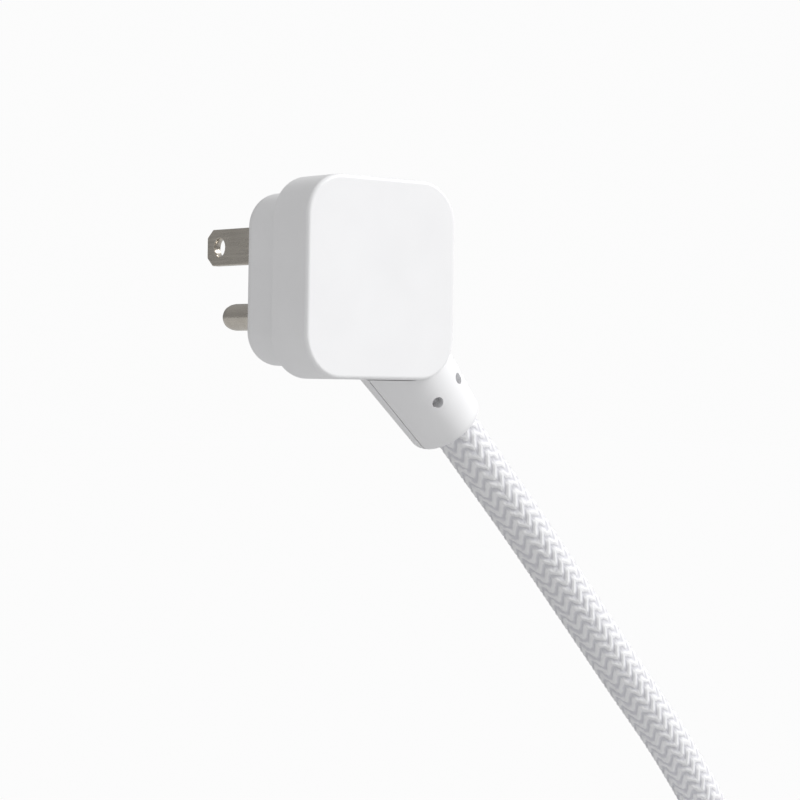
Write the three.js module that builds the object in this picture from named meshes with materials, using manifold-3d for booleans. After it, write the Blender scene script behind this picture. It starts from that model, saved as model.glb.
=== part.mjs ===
// A cord-fed smart plug: a soft-square head with three pins and its electronics, a two-part
// strain relief, a braided cord put away as a tied coil, and an in-line socket on the far end.
//
// Everything is drawn in face coordinates: x to the right, y up and z out of the wall, with the
// origin in the middle of the face that meets the outlet. The outermost group turns that so that
// Z is up and +Y goes into the wall. Millimetres.

import * as THREE from 'three';
import { mergeVertices } from 'three/addons/utils/BufferGeometryUtils.js';
import Module from 'manifold-3d';

const wasm = await Module();
wasm.setup();

// driving dimensions

const gap = 0.3; // what neighbouring pieces keep between them

// head
const capWidth = 31.6;
const capHeight = 33.3;
const capCorner = 7.2;
const capThickness = 9.7;
const headDepth = 22.3;
const capEdgeRadius = 0.7;
const capWall = 1.6;
const capFrontWall = 1.8;
const waistSideStep = 3.6; // how far the rear body stands in from the cap at the sides
const waistTopStep = 2.1; // and at the top and bottom
const waistCorner = 5.6;
const rearEdgeStep = 2; // the round that leads from the rear body to the mating face
const rearEdgeDepth = 3;
const coveDepth = 4; // the hollow curve between rear body and cap
const cornerShare = 0.7; // how much a corner's radius follows its outline's steps
const rearWall = 1.6;
const rearFloor = 2.2;
const lipThickness = 1;
const lipRoot = 0.6;
const lipHeight = 2;

// pins of a grounded 15 A plug
const pinSpacing = 12.7;
const bladeWidth = 6.35;
const bladeThickness = 1.5;
const bladeLength = 17.5;
const bladeHoleRadius = 1.6;
const bladeHoleFromTip = 3.6;
const bladeTipLength = 1.6; // the chamfer at the tip, along the blade
const bladeTipInset = 1.4; // and across it
const pinRoot = 1; // the pins stop this short of the carrier's front
const groundOffset = 11.9;
const groundRadius = 2.38;
const groundLength = 20.7;
const groundTip = 2.6; // the length of its round tip
const tabWidth = 2.2;

// insulator and main board
const carrierThickness = 2.8;
const boardThickness = 1.2;
const boardScrewX = 8.8;
const boardScrewY = -1.4;
const screwRadius = 0.8;
const screwHeadRadius = 1.5;
const screwHeadHeight = 0.9;
const postRadius = 1.9;

// parts on the board
const relaySize = { x: 16.6, y: 9.6, z: 10.2 };
const relayPlace = { x: -1.6, y: 5.5 };
const capacitorRadius = 3.15;
const capacitorHeight = 11;
const capacitorPlace = { x: -6.9, y: -7.2 };
const capacitorGroove = { at: 1.6, depth: 0.4 };
const varistorRadius = 2.8;
const varistorThickness = 2.4;
const varistorPlace = { x: -0.9, y: -10.6 };
const fuseRadius = 1.3;
const fuseLength = 7.2;
const fusePlace = { x: -3.3, y: -1.9 };
const inductorSize = { x: 3.6, y: 4, z: 2.2 };
const inductorPlace = { x: 5.2, y: -2.6 };

// radio card in front of the relay, on its header
const radioBoard = { width: 15, height: 9.4, thickness: 0.8 };
const radioPlace = { x: 1.9, y: 5.2 };
const shieldSize = { x: 10, y: 8, z: 1.1 };
const headerSize = { x: 1.8, y: 6.6 };

// push button, its switch and the indicator, in the top wall
const buttonWidth = 9;
const buttonDepth = 3.8;
const buttonFlange = 0.8;
const buttonFlangeThickness = 0.6;
const buttonProud = 0.15;
const buttonTravel = 0.5;
const buttonFromFront = 5;
const buttonBoard = { width: 15, thickness: 0.8 };
const switchSize = { x: 4.5, y: 1.4, z: 4.5 };
const plungerRadius = 0.9;
const plungerDepth = 0.9;
const lightPipeRadius = 0.9;
const lightPipePlace = 6.4;
const ledSize = { x: 2, y: 0.8, z: 1.25 };

// strain relief
const reliefAngle = 47.5; // degrees below the horizontal
const reliefForward = 0.8; // its axis, in front of the seam between rear body and cap
const reliefRadius = 7.36;
const reliefRadiusAt = 23; // where that radius is, from the middle of the head
const reliefTaper = 0.082;
const reliefEnd = 33.6;
const reliefEndRadius = 1.9;
const neckRadius = 4.1;
const flangeRadius = 4.9;
const flangeThickness = 1.3;
const flangeStart = 9.2;
const wireBore = 2.6;
const cordSeat = 9.4; // how far the braid goes into the relief
const cordOffset = 1.1; // the cord leaves this much above the relief's axis
const pinHoleRadius = 1;
const pinHoleDepth = 2.6;
const pinHoleAt = 24.8;
const pinHoleAngle = 25.4; // each side of the front

// wires
const wireRadius = 0.8;
const wireRing = 1.25; // how far each wire runs from the middle of the bore
const wireStraight = 4;
const wireRise = 2.3; // the height of its upright stretch above the board
const wireDrop = 1.7; // its bend lies this far behind the relief's axis
const wireInside = 0.5; // how far it goes straight on past the relief's inner end
const wireBow = { x: 1.2, y: -0.4 };
const linePad = { turn: 60, x: 2, y: -2.4 };
const neutralPad = { turn: 300, x: 1, y: -4.8 };
const groundPad = { turn: 180, x: 1, y: -7.4 };

// cord
const cordDiameter = 8.3;
const cordSides = 12;
const coilMiddle = 49.5; // radius of the coil's middle turns
const coilRows = 3;
const coilColumns = 2;
const coilCentre = { x: 58.5, y: -170 };
const coilSegments = 36;
const tieWidth = 12;
const tieThickness = 1.4;
const tieAngle = 0; // where the tie sits on the coil, in degrees

// in-line socket, hanging in front of the coil
const socketWidth = 30;
const socketCorner = 8;
const socketLength = 34;
const socketFront = 12; // the length of its front shell
const socketEdge = 1.2;
const socketWall = 2;
const socketFace = 3;
const socketPlace = { x: 30, y: -15, forward: 26 }; // the top of its body, from the coil's middle
const socketReliefLength = 20;
const socketReliefRadius = 7;
const socketReliefTip = 5.6;
const slotWidth = 2.2;
const slotHeight = 7.6;
const groundHoleRadius = 2.62;
const contactLength = 14;
const contactHeight = 6;
const contactBase = 2;
const contactWall = 0.6;
const blockSetBack = 4; // the contacts stand this far out of their block
const socketScrewRadius = 1.1;
const socketScrewHead = 1.8;
const socketPostRadius = 2.3;
const socketScrewLength = 15;
const socketScrewSunk = 0.6;
const socketScrewHeadHeight = 1.2;
const socketScrewWell = 2;
const socketPostLength = 7;

// values that follow from those

const degrees = Math.PI / 180;
const cordRadius = cordDiameter / 2;
const capRear = headDepth - capThickness;
const reliefDepth = capRear + reliefForward;
const waistWidth = capWidth - 2 * waistSideStep;
const waistHeight = capHeight - 2 * waistTopStep;
const innerWidth = waistWidth - 2 * rearWall;
const innerHeight = waistHeight - 2 * rearWall;
const innerCorner = waistCorner - rearWall;
const capInnerWidth = capWidth - 2 * capWall;
const capInnerHeight = capHeight - 2 * capWall;
const capInnerCorner = capCorner - capWall;
const capInnerFront = headDepth - capFrontWall;
const pinMiddle = groundOffset / 2; // blades above the middle, ground pin below it
const carrierRear = rearFloor + gap;
const carrierFront = carrierRear + carrierThickness;
const boardRear = carrierFront + gap;
const boardFront = boardRear + boardThickness;
const partsRear = boardFront + gap;
const relayFront = partsRear + relaySize.z;
const radioRear = relayFront + gap;
const radioFront = radioRear + radioBoard.thickness;
const buttonAt = headDepth - buttonFromFront;
const capTop = capHeight / 2;
const capInnerTop = capInnerHeight / 2;
const relayTop = relayPlace.y + relaySize.y / 2;
const buttonBoardBottom = relayTop + gap;
const buttonBoardTop = buttonBoardBottom + buttonBoard.thickness;
const switchBottom = buttonBoardTop + gap;
const switchTop = switchBottom + switchSize.y;
const plungerTop = capInnerTop - gap - buttonFlangeThickness - gap;
const coilHalfWidth = (coilRows * cordDiameter) / 2;
const coilHalfDepth = (coilColumns * cordDiameter) / 2;
const cordSeatStart = reliefEnd - cordSeat;

// small tools

function solidOf(geometry) {
  const bare = geometry.clone();
  bare.deleteAttribute('normal');
  bare.deleteAttribute('uv');
  const merged = mergeVertices(bare, 1e-4);
  return new wasm.Manifold(new wasm.Mesh({
    numProp: 3,
    vertProperties: Float32Array.from(merged.attributes.position.array),
    triVerts: Uint32Array.from(merged.index.array),
  }));
}

function geometryOf(solid) {
  const mesh = solid.getMesh();
  const geometry = new THREE.BufferGeometry();
  geometry.setAttribute('position', new THREE.BufferAttribute(mesh.vertProperties, 3));
  geometry.setIndex(new THREE.BufferAttribute(mesh.triVerts, 1));
  geometry.computeVertexNormals();
  return geometry;
}

// body minus every cutter
function cut(body, ...cutters) {
  return cutters.reduce((left, cutter) => left.subtract(cutter), body);
}

function join(first, ...others) {
  return others.reduce((whole, other) => whole.add(other), first);
}

function moved(geometry, x, y, z) {
  return geometry.clone().translate(x, y, z);
}

function box(x, y, z, width, height, depth) {
  return moved(new THREE.BoxGeometry(width, height, depth), x, y, z);
}

// a cylinder whose axis is z, from one depth to another
function rod(x, y, from, to, radius, sides = 24) {
  const geometry = new THREE.CylinderGeometry(radius, radius, to - from, sides);
  return geometry.rotateX(Math.PI / 2).translate(x, y, (from + to) / 2);
}

// a turned piece whose axis is z, from [radius, z] pairs that start and end on the axis
function turned(profile, sides = 24) {
  const points = profile.map(([radius, z]) => new THREE.Vector2(radius, z));
  return new THREE.LatheGeometry(points, sides).rotateX(Math.PI / 2);
}

function softRectangle(width, height, corner) {
  const right = width / 2 - corner;
  const top = height / 2 - corner;
  const shape = new THREE.Shape();
  shape.absarc(right, top, corner, 0, Math.PI / 2);
  shape.absarc(-right, top, corner, Math.PI / 2, Math.PI);
  shape.absarc(-right, -top, corner, Math.PI, 1.5 * Math.PI);
  shape.absarc(right, -top, corner, 1.5 * Math.PI, 2 * Math.PI);
  return shape;
}

// a straight block with soft corners, from one depth to another
function softBlock(width, height, corner, from, to, segments = 3) {
  const shape = softRectangle(width, height, corner);
  const geometry = new THREE.ExtrudeGeometry(shape, {
    depth: to - from, bevelEnabled: false, curveSegments: segments,
  });
  return geometry.translate(0, 0, from);
}

// a closed skin through a stack of soft rectangles, each { width, height, corner, z }
function lofted(stack, segments = 4) {
  const rings = stack.map(({ width, height, corner }) => {
    const points = softRectangle(width, height, corner).getPoints(segments);
    return points.filter((point, i) => i === 0 || point.distanceTo(points[i - 1]) > 1e-4);
  });
  const count = rings[0].length - (rings[0][0].distanceTo(rings[0].at(-1)) < 1e-4 ? 1 : 0);
  const places = [];
  rings.forEach((ring, level) => {
    ring.slice(0, count).forEach((point) => places.push(point.x, point.y, stack[level].z));
  });
  const faces = [];
  for (let level = 0; level + 1 < stack.length; level += 1) {
    for (let i = 0; i < count; i += 1) {
      const a = level * count + i;
      const b = level * count + ((i + 1) % count);
      faces.push(a, b, b + count, a, b + count, a + count);
    }
  }
  const last = (stack.length - 1) * count;
  for (let i = 1; i + 1 < count; i += 1) {
    faces.push(0, i + 1, i);
    faces.push(last, last + i, last + i + 1);
  }
  const geometry = new THREE.BufferGeometry();
  geometry.setAttribute('position', new THREE.Float32BufferAttribute(places, 3));
  geometry.setIndex(faces);
  return geometry;
}

// a round bar along a smooth curve
function tube(points, radius, steps, sides = 8) {
  const section = new THREE.Shape();
  section.absarc(0, 0, radius, 0, 2 * Math.PI);
  return new THREE.ExtrudeGeometry(section, {
    steps, curveSegments: sides / 2, extrudePath: new THREE.CatmullRomCurve3(points),
  });
}

// the cord's own directions

const slope = reliefAngle * degrees;
const along = new THREE.Vector3(Math.cos(slope), -Math.sin(slope), 0);
const above = new THREE.Vector3(Math.sin(slope), Math.cos(slope), 0);
const forward = new THREE.Vector3(0, 0, 1);
const reliefFrame = new THREE.Matrix4()
  .makeBasis(above, forward, along)
  .setPosition(0, 0, reliefDepth);

function onRelief(geometry) {
  return geometry.clone().applyMatrix4(reliefFrame);
}

function reliefPoint(aboveAxis, inFront, distance) {
  return new THREE.Vector3(aboveAxis, inFront, distance).applyMatrix4(reliefFrame);
}

// head

// one outline of the rear body: inset makes it smaller than the waist, grow makes it bigger
function waistLevel(z, insetSide, insetTop, grow) {
  const share = (insetSide + insetTop) / 2;
  return {
    width: waistWidth - 2 * insetSide + 2 * grow,
    height: waistHeight - 2 * insetTop + 2 * grow,
    corner: waistCorner - cornerShare * share + grow,
    z,
  };
}

// the stack of outlines of the rear body; grow makes it bigger all round
function rearStack(grow) {
  const stack = [];
  const roundSteps = 4;
  for (let i = 0; i <= roundSteps; i += 1) {
    const turn = (i / roundSteps) * (Math.PI / 2);
    const inset = rearEdgeStep * (1 - Math.sin(turn));
    stack.push(waistLevel(rearEdgeDepth * (1 - Math.cos(turn)), inset, inset, grow));
  }
  const coveSteps = 5;
  for (let i = 0; i <= coveSteps; i += 1) {
    const turn = (i / coveSteps) * (Math.PI / 2);
    const share = 1 - Math.cos(turn);
    const z = capRear - coveDepth + coveDepth * Math.sin(turn);
    const side = -(waistSideStep - gap) * share;
    const top = -(waistTopStep - gap) * share;
    stack.push(waistLevel(z, side, top, grow));
  }
  if (grow > 0) {
    stack.unshift({ ...stack[0], z: stack[0].z - grow });
    stack.push({ ...stack.at(-1), z: stack.at(-1).z + grow });
  }
  return stack;
}

// the stack of outlines of the cap
function capStack(grow) {
  const level = (z, step) => ({
    width: capWidth - 2 * step + 2 * grow,
    height: capHeight - 2 * step + 2 * grow,
    corner: capCorner - step + grow,
    z,
  });
  const stack = [level(capRear + gap - grow, 0)];
  const edgeSteps = 3;
  for (let i = 0; i <= edgeSteps; i += 1) {
    const turn = (i / edgeSteps) * (Math.PI / 2);
    const z = headDepth - capEdgeRadius * (1 - Math.sin(turn)) + grow;
    stack.push(level(z, capEdgeRadius * (1 - Math.cos(turn))));
  }
  return stack;
}

function neckHole() {
  return solidOf(onRelief(rod(0, 0, flangeStart - gap, reliefRadiusAt, neckRadius + gap)));
}

function bladeSlot(x) {
  return solidOf(box(x, pinMiddle, 0, bladeThickness + 2 * gap, bladeWidth + 2 * gap, headDepth));
}

function groundHole() {
  return solidOf(rod(0, -pinMiddle, -capRear, capRear, groundRadius + gap));
}

function rearHousing() {
  const outer = solidOf(lofted(rearStack(0)));
  const lip = solidOf(softBlock(
    capInnerWidth - 2 * gap, capInnerHeight - 2 * gap, capInnerCorner - gap,
    capRear - lipRoot, capRear + lipHeight,
  ));
  const lipInner = solidOf(softBlock(
    capInnerWidth - 2 * gap - 2 * lipThickness,
    capInnerHeight - 2 * gap - 2 * lipThickness,
    capInnerCorner - gap - lipThickness,
    capRear - lipRoot, headDepth,
  ));
  const cavity = solidOf(softBlock(innerWidth, innerHeight, innerCorner, rearFloor, headDepth));
  const shell = cut(
    join(outer, lip), cavity, lipInner, neckHole(),
    bladeSlot(-pinSpacing / 2), bladeSlot(pinSpacing / 2), groundHole(),
  );
  const posts = [-boardScrewX, boardScrewX].map((x) => (
    cut(
      solidOf(rod(x, boardScrewY, rearFloor - gap, boardRear - gap, postRadius)),
      solidOf(rod(x, boardScrewY, rearFloor, boardRear, screwRadius + gap)),
    )
  ));
  return join(shell, ...posts);
}

function buttonOutline(grow) {
  return softRectangle(
    buttonWidth + 2 * grow, buttonDepth + 2 * grow, buttonDepth / 2 + grow - 0.01,
  );
}

// a plate with the button's outline, lying level, from one height to another
function buttonPlate(grow, bottom, top) {
  const geometry = new THREE.ExtrudeGeometry(buttonOutline(grow), {
    depth: top - bottom, bevelEnabled: false, curveSegments: 6,
  });
  return geometry.rotateX(-Math.PI / 2).translate(0, bottom, buttonAt);
}

function levelRod(x, bottom, top, z, radius, sides = 16) {
  return moved(new THREE.CylinderGeometry(radius, radius, top - bottom, sides),
    x, (bottom + top) / 2, z);
}

function frontCover() {
  const outer = solidOf(lofted(capStack(0)));
  const cavity = solidOf(softBlock(
    capInnerWidth, capInnerHeight, capInnerCorner, 0, capInnerFront,
  ));
  return cut(
    outer, cavity, neckHole(),
    solidOf(buttonPlate(gap, capInnerTop - 1, capTop + 1)),
    solidOf(levelRod(lightPipePlace, capInnerTop - 1, capTop + 1, buttonAt, lightPipeRadius + gap)),
  );
}

// a flat blade: outline in its own plane, tip towards the outlet
function blade() {
  const half = bladeWidth / 2;
  const tip = bladeLength;
  const root = -carrierFront + pinRoot;
  const outline = new THREE.Shape([
    new THREE.Vector2(-half, root),
    new THREE.Vector2(-tabWidth / 2, root),
    new THREE.Vector2(-tabWidth / 2, -boardFront),
    new THREE.Vector2(tabWidth / 2, -boardFront),
    new THREE.Vector2(tabWidth / 2, root),
    new THREE.Vector2(half, root),
    new THREE.Vector2(half, tip - bladeTipLength),
    new THREE.Vector2(half - bladeTipInset, tip),
    new THREE.Vector2(-half + bladeTipInset, tip),
    new THREE.Vector2(-half, tip - bladeTipLength),
  ]);
  const hole = new THREE.Path();
  hole.absarc(0, tip - bladeHoleFromTip, bladeHoleRadius, 0, 2 * Math.PI, true);
  outline.holes.push(hole);
  const geometry = new THREE.ExtrudeGeometry(outline, {
    depth: bladeThickness, bevelEnabled: false, curveSegments: 6,
  });
  // outline x becomes height, outline y becomes into the wall, thickness becomes x
  return geometry
    .translate(0, 0, -bladeThickness / 2)
    .applyMatrix4(new THREE.Matrix4().makeBasis(
      new THREE.Vector3(0, 1, 0), new THREE.Vector3(0, 0, -1), new THREE.Vector3(-1, 0, 0),
    ));
}

function groundPin() {
  const root = carrierFront - pinRoot;
  const profile = [];
  const tipSteps = 4;
  for (let i = 0; i <= tipSteps; i += 1) {
    const turn = (i / tipSteps) * (Math.PI / 2);
    profile.push([groundRadius * Math.sin(turn), groundTip * (1 - Math.cos(turn)) - groundLength]);
  }
  return turned([
    ...profile, [groundRadius, root], [tabWidth / 2, root], [tabWidth / 2, boardFront], [0, boardFront],
  ]);
}

function contactCarrier() {
  return cut(
    solidOf(softBlock(
      innerWidth - 2 * gap, innerHeight - 2 * gap, innerCorner - gap, carrierRear, carrierFront,
    )),
    bladeSlot(-pinSpacing / 2), bladeSlot(pinSpacing / 2), groundHole(),
    ...[-boardScrewX, boardScrewX].map((x) => (
      solidOf(rod(x, boardScrewY, 0, headDepth, postRadius + gap))
    )),
  );
}

function mainBoard() {
  const tabHole = (x, y) => solidOf(box(
    x, y, boardRear, bladeThickness + 2 * gap, tabWidth + 2 * gap, headDepth,
  ));
  return cut(
    solidOf(softBlock(
      innerWidth - 2 * gap, innerHeight - 2 * gap, innerCorner - gap, boardRear, boardFront,
    )),
    tabHole(-pinSpacing / 2, pinMiddle), tabHole(pinSpacing / 2, pinMiddle),
    solidOf(rod(0, -pinMiddle, 0, headDepth, tabWidth / 2 + gap, 16)),
    ...[-boardScrewX, boardScrewX].map((x) => (
      solidOf(rod(x, boardScrewY, 0, headDepth, screwRadius + gap, 16))
    )),
  );
}

function boardScrew() {
  return turned([
    [0, rearFloor + gap],
    [screwRadius, rearFloor + gap],
    [screwRadius, partsRear],
    [screwHeadRadius, partsRear],
    [screwHeadRadius, partsRear + screwHeadHeight],
    [0, partsRear + screwHeadHeight],
  ], 16);
}

function capacitor() {
  const top = partsRear + capacitorHeight;
  const groove = partsRear + capacitorGroove.at;
  const inset = capacitorGroove.depth;
  return turned([
    [0, partsRear],
    [capacitorRadius, partsRear],
    [capacitorRadius, groove],
    [capacitorRadius - inset, groove + inset],
    [capacitorRadius, groove + 2 * inset],
    [capacitorRadius, top - inset],
    [capacitorRadius - inset, top],
    [0, top],
  ]);
}

// button and indicator

function pushButton() {
  const flangeTop = capInnerTop - gap;
  const flangeBottom = flangeTop - buttonFlangeThickness;
  return join(
    solidOf(buttonPlate(0, flangeTop - 0.1, capTop + buttonProud)),
    solidOf(buttonPlate(buttonFlange, flangeBottom, flangeTop)),
  );
}

function tactSwitch() {
  return cut(
    solidOf(box(0, (switchBottom + switchTop) / 2, buttonAt, switchSize.x, switchSize.y, switchSize.z)),
    solidOf(levelRod(0, switchTop - plungerDepth - gap, switchTop + 1, buttonAt, plungerRadius + gap)),
  );
}

function lightPipe() {
  const bottom = buttonBoardTop + ledSize.y + 2 * gap;
  return levelRod(lightPipePlace, bottom, capTop, buttonAt, lightPipeRadius);
}

// strain relief

function reliefProfile() {
  const radiusAt = (distance) => reliefRadius - reliefTaper * (distance - reliefRadiusAt);
  const start = flangeStart + flangeThickness + 2;
  const shoulder = reliefEnd - reliefEndRadius;
  const profile = [[0, start], [radiusAt(start), start], [radiusAt(shoulder), shoulder]];
  const steps = 4;
  for (let i = 1; i <= steps; i += 1) {
    const turn = (i / steps) * (Math.PI / 2);
    const inwards = reliefEndRadius * (1 - Math.cos(turn));
    profile.push([radiusAt(shoulder) - inwards, shoulder + reliefEndRadius * Math.sin(turn)]);
  }
  profile.push([0, reliefEnd]);
  return profile;
}

function reliefBody() {
  const outside = cut(
    solidOf(onRelief(turned(reliefProfile(), 32))),
    solidOf(lofted(rearStack(gap))),
    solidOf(lofted(capStack(gap))),
    solidOf(softBlock(capInnerWidth, capInnerHeight, capInnerCorner, capRear - 1, capRear + 1)),
  );
  const neck = solidOf(onRelief(rod(0, 0, flangeStart, reliefRadiusAt, neckRadius)));
  const flange = solidOf(onRelief(rod(
    0, 0, flangeStart, flangeStart + flangeThickness, flangeRadius,
  )));
  const pinHole = (side) => {
    const hole = rod(0, 0, 0, pinHoleDepth * 2, pinHoleRadius, 16)
      .rotateX(-Math.PI / 2)
      .translate(0, reliefRadius - pinHoleDepth, 0)
      .rotateZ(-side * pinHoleAngle * degrees)
      .translate(0, 0, pinHoleAt);
    return solidOf(onRelief(hole));
  };
  return cut(
    join(outside, neck, flange),
    solidOf(onRelief(rod(0, 0, 0, cordSeatStart + gap, wireBore, 20))),
    solidOf(onRelief(rod(cordOffset, 0, cordSeatStart, reliefEnd + 1, cordRadius + gap, 32))),
    pinHole(-1), pinHole(1),
  );
}

// the half of the relief in front of its parting line, or behind it
function reliefHalf(side) {
  const size = 2 * reliefEnd; // more than covers the relief
  const half = solidOf(onRelief(box(0, side * (size / 2 + gap / 2), reliefEnd / 2, size, size, size)));
  return reliefBody().intersect(half);
}

// wires inside

// from the cord's end, through the relief's neck and down onto its pad on the board
function wire(turn, padX, padY) {
  const x = wireRing * Math.cos(turn * degrees);
  const y = wireRing * Math.sin(turn * degrees);
  return tube([
    reliefPoint(x, y, cordSeatStart - gap),
    reliefPoint(x, y, flangeStart + wireStraight),
    reliefPoint(x, y, flangeStart - wireInside),
    new THREE.Vector3(padX + wireBow.x, padY + wireBow.y, reliefDepth - wireDrop),
    new THREE.Vector3(padX, padY, partsRear + wireRise),
    new THREE.Vector3(padX, padY, partsRear),
  ], wireRadius, 16);
}

// cord

const coilMiddlePoint = new THREE.Vector3(coilCentre.x, coilCentre.y, reliefDepth);

// the route of the stretch that hangs between the relief and the coil: x, y, and how far it has
// moved towards the room from the relief's own depth
const leadRoute = [
  [40.5, -41.8, 0],
  [54, -56.5, 0],
  [67.5, -71.3, 0],
  [81, -86, -0.1],
  [92, -99.5, -0.8],
  [101.5, -114, -2.2],
  [108.8, -130, -3.6],
  [113, -147, -4.15],
];

function leadPoints() {
  const start = reliefPoint(cordOffset, 0, cordSeatStart + gap);
  const exit = reliefPoint(cordOffset, 0, reliefEnd);
  const rest = leadRoute.map(([x, y, front]) => new THREE.Vector3(x, y, reliefDepth + front));
  return [start, exit, ...rest];
}

// the route of the tail from the coil to the socket, from the coil's middle: x, y, forward
const tailRoute = [
  [-14.5, 36, 13.6],
  [-4, 38, 16.2],
  [6.5, 36.3, 18.6],
  [16, 31.5, 21.4],
  [23.5, 24, 24],
  [28.3, 14.5, 25.6],
  [30, 4, 26],
];

function tailPoints() {
  const points = tailRoute.map(([x, y, front]) => (
    new THREE.Vector3(x, y, front).add(coilMiddlePoint)
  ));
  const seat = socketTop();
  seat.y += socketReliefLength - cordSeat / 2;
  points.push(seat);
  return points;
}

function coilSection(grow) {
  return softRectangle(2 * (coilHalfWidth + grow), 2 * (coilHalfDepth + grow), cordRadius + grow);
}

function coilSolid(grow) {
  const points = coilSection(grow).getPoints(2)
    .map((point) => new THREE.Vector2(point.x + coilMiddle, point.y));
  const around = points.filter((point, i) => i === 0 || point.distanceTo(points[i - 1]) > 1e-4);
  if (around[0].distanceTo(around.at(-1)) > 1e-4) {
    around.push(around[0].clone());
  }
  return new THREE.LatheGeometry(around, coilSegments)
    .rotateX(Math.PI / 2)
    .translate(coilCentre.x, coilCentre.y, reliefDepth);
}

function cordTie() {
  const outer = new THREE.ExtrudeGeometry(coilSection(gap + tieThickness), {
    depth: tieWidth, bevelEnabled: false, curveSegments: 5,
  });
  // the strap's own z runs along the coil where the tie sits
  const turn = tieAngle * degrees;
  const outwards = new THREE.Vector3(Math.cos(turn), Math.sin(turn), 0);
  const around = new THREE.Vector3(-Math.sin(turn), Math.cos(turn), 0);
  const place = new THREE.Matrix4().makeBasis(outwards, forward.clone().negate(), around);
  outer.translate(0, 0, -tieWidth / 2).applyMatrix4(place);
  outer.translate(
    coilCentre.x + coilMiddle * outwards.x, coilCentre.y + coilMiddle * outwards.y, reliefDepth,
  );
  return cut(solidOf(outer), solidOf(coilSolid(gap)));
}

// in-line socket

function socketTop() {
  return new THREE.Vector3(
    coilCentre.x + socketPlace.x, coilCentre.y + socketPlace.y, reliefDepth + socketPlace.forward,
  );
}

// the socket is drawn with its face looking along z, then hung with the face down
const socketFrame = new THREE.Matrix4()
  .makeBasis(new THREE.Vector3(1, 0, 0), new THREE.Vector3(0, 0, 1), new THREE.Vector3(0, -1, 0))
  .setPosition(socketTop());

function onSocket(geometry) {
  return geometry.clone().applyMatrix4(socketFrame);
}

function socketOuter(from, to) {
  const edge = socketEdge;
  const level = (z, step) => ({
    width: socketWidth - 2 * step,
    height: socketWidth - 2 * step,
    corner: socketCorner - step,
    z,
  });
  // a round edge at the end that shows, a plain one at the seam
  const eased = [0, 0.3, 1].map((share) => [edge * share, edge * (1 - Math.sqrt(share * (2 - share)))]);
  if (from === 0) {
    return solidOf(lofted([...eased.map(([z, step]) => level(z, step)), level(to, 0)]));
  }
  return solidOf(lofted([
    level(from, 0), ...eased.reverse().map(([z, step]) => level(to - z, step)),
  ]));
}

function socketScrewCut(grow) {
  return solidOf(rod(
    0, 0, socketLength - socketScrewLength, socketLength + 1, socketScrewRadius + grow, 16,
  ));
}

function socketRear() {
  const seam = socketLength - socketFront;
  return cut(
    socketOuter(0, seam),
    solidOf(softBlock(
      socketWidth - 2 * socketWall, socketWidth - 2 * socketWall, socketCorner - socketWall,
      socketWall, socketLength,
    )),
    solidOf(rod(0, 0, -1, socketWall + 1, neckRadius + gap)),
  );
}

function slotCut(x) {
  return solidOf(box(x, pinMiddle, socketLength, slotWidth, slotHeight, 2 * socketFace + 2));
}

function socketFaceShell() {
  const seam = socketLength - socketFront;
  const width = socketWidth - 2 * socketWall;
  const post = solidOf(rod(
    0, 0, socketLength - socketFace - socketPostLength + gap, socketLength - 1, socketPostRadius,
  ));
  const shell = cut(
    socketOuter(seam + gap, socketLength),
    solidOf(softBlock(width, width, socketCorner - socketWall, seam, socketLength - socketFace)),
  );
  return cut(
    join(shell, post),
    slotCut(-pinSpacing / 2), slotCut(pinSpacing / 2),
    solidOf(rod(0, -pinMiddle, seam, socketLength + 1, groundHoleRadius)),
    socketScrewCut(gap),
    solidOf(rod(0, 0, socketLength - socketScrewWell, socketLength + 1, socketScrewHead + gap)),
  );
}

// a spring contact: two leaves on a short base, open towards the face
function bladeContact() {
  const front = socketLength - socketFace - gap;
  const rear = front - contactLength;
  const leaf = (x) => solidOf(box(
    x, 0, (rear + front) / 2, contactWall, contactHeight, contactLength,
  ));
  const spread = slotWidth / 2 + contactWall / 2;
  const base = solidOf(box(
    0, 0, rear + contactBase / 2, 2 * spread + contactWall, contactHeight, contactBase,
  ));
  return join(base, leaf(-spread), leaf(spread));
}

function groundContact() {
  const front = socketLength - socketFace - gap;
  const rear = front - contactLength;
  return cut(
    solidOf(rod(0, 0, rear, front, groundHoleRadius + contactWall)),
    solidOf(rod(0, 0, rear + contactBase, front + 1, groundHoleRadius)),
  );
}

// the insulating block that holds the three contacts
function contactBlock() {
  const width = socketWidth - 2 * socketWall - 2 * gap;
  const rear = 3 * socketWall;
  const front = socketLength - socketFace - gap - blockSetBack;
  const pocket = contactLength - blockSetBack + gap;
  const hold = (x, y, w, h) => solidOf(box(
    x, y, front, w + 2 * gap, h + 2 * gap, 2 * pocket,
  ));
  const spread = slotWidth + 2 * contactWall;
  return cut(
    solidOf(softBlock(width, width, socketCorner - socketWall - gap, rear, front)),
    hold(-pinSpacing / 2, pinMiddle, spread, contactHeight),
    hold(pinSpacing / 2, pinMiddle, spread, contactHeight),
    solidOf(rod(0, -pinMiddle, front - pocket, front + 1, groundHoleRadius + contactWall + gap)),
    socketScrewCut(gap),
    solidOf(rod(
      0, 0, socketLength - socketFace - socketPostLength, socketLength, socketPostRadius + gap,
    )),
  );
}

function socketScrew() {
  const top = socketLength - socketScrewSunk;
  const seat = top - socketScrewHeadHeight;
  const tip = socketLength - socketScrewLength + gap;
  return turned([
    [0, tip],
    [socketScrewRadius, tip],
    [socketScrewRadius, seat],
    [socketScrewHead, seat],
    [socketScrewHead, top],
    [0, top],
  ]);
}

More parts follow.
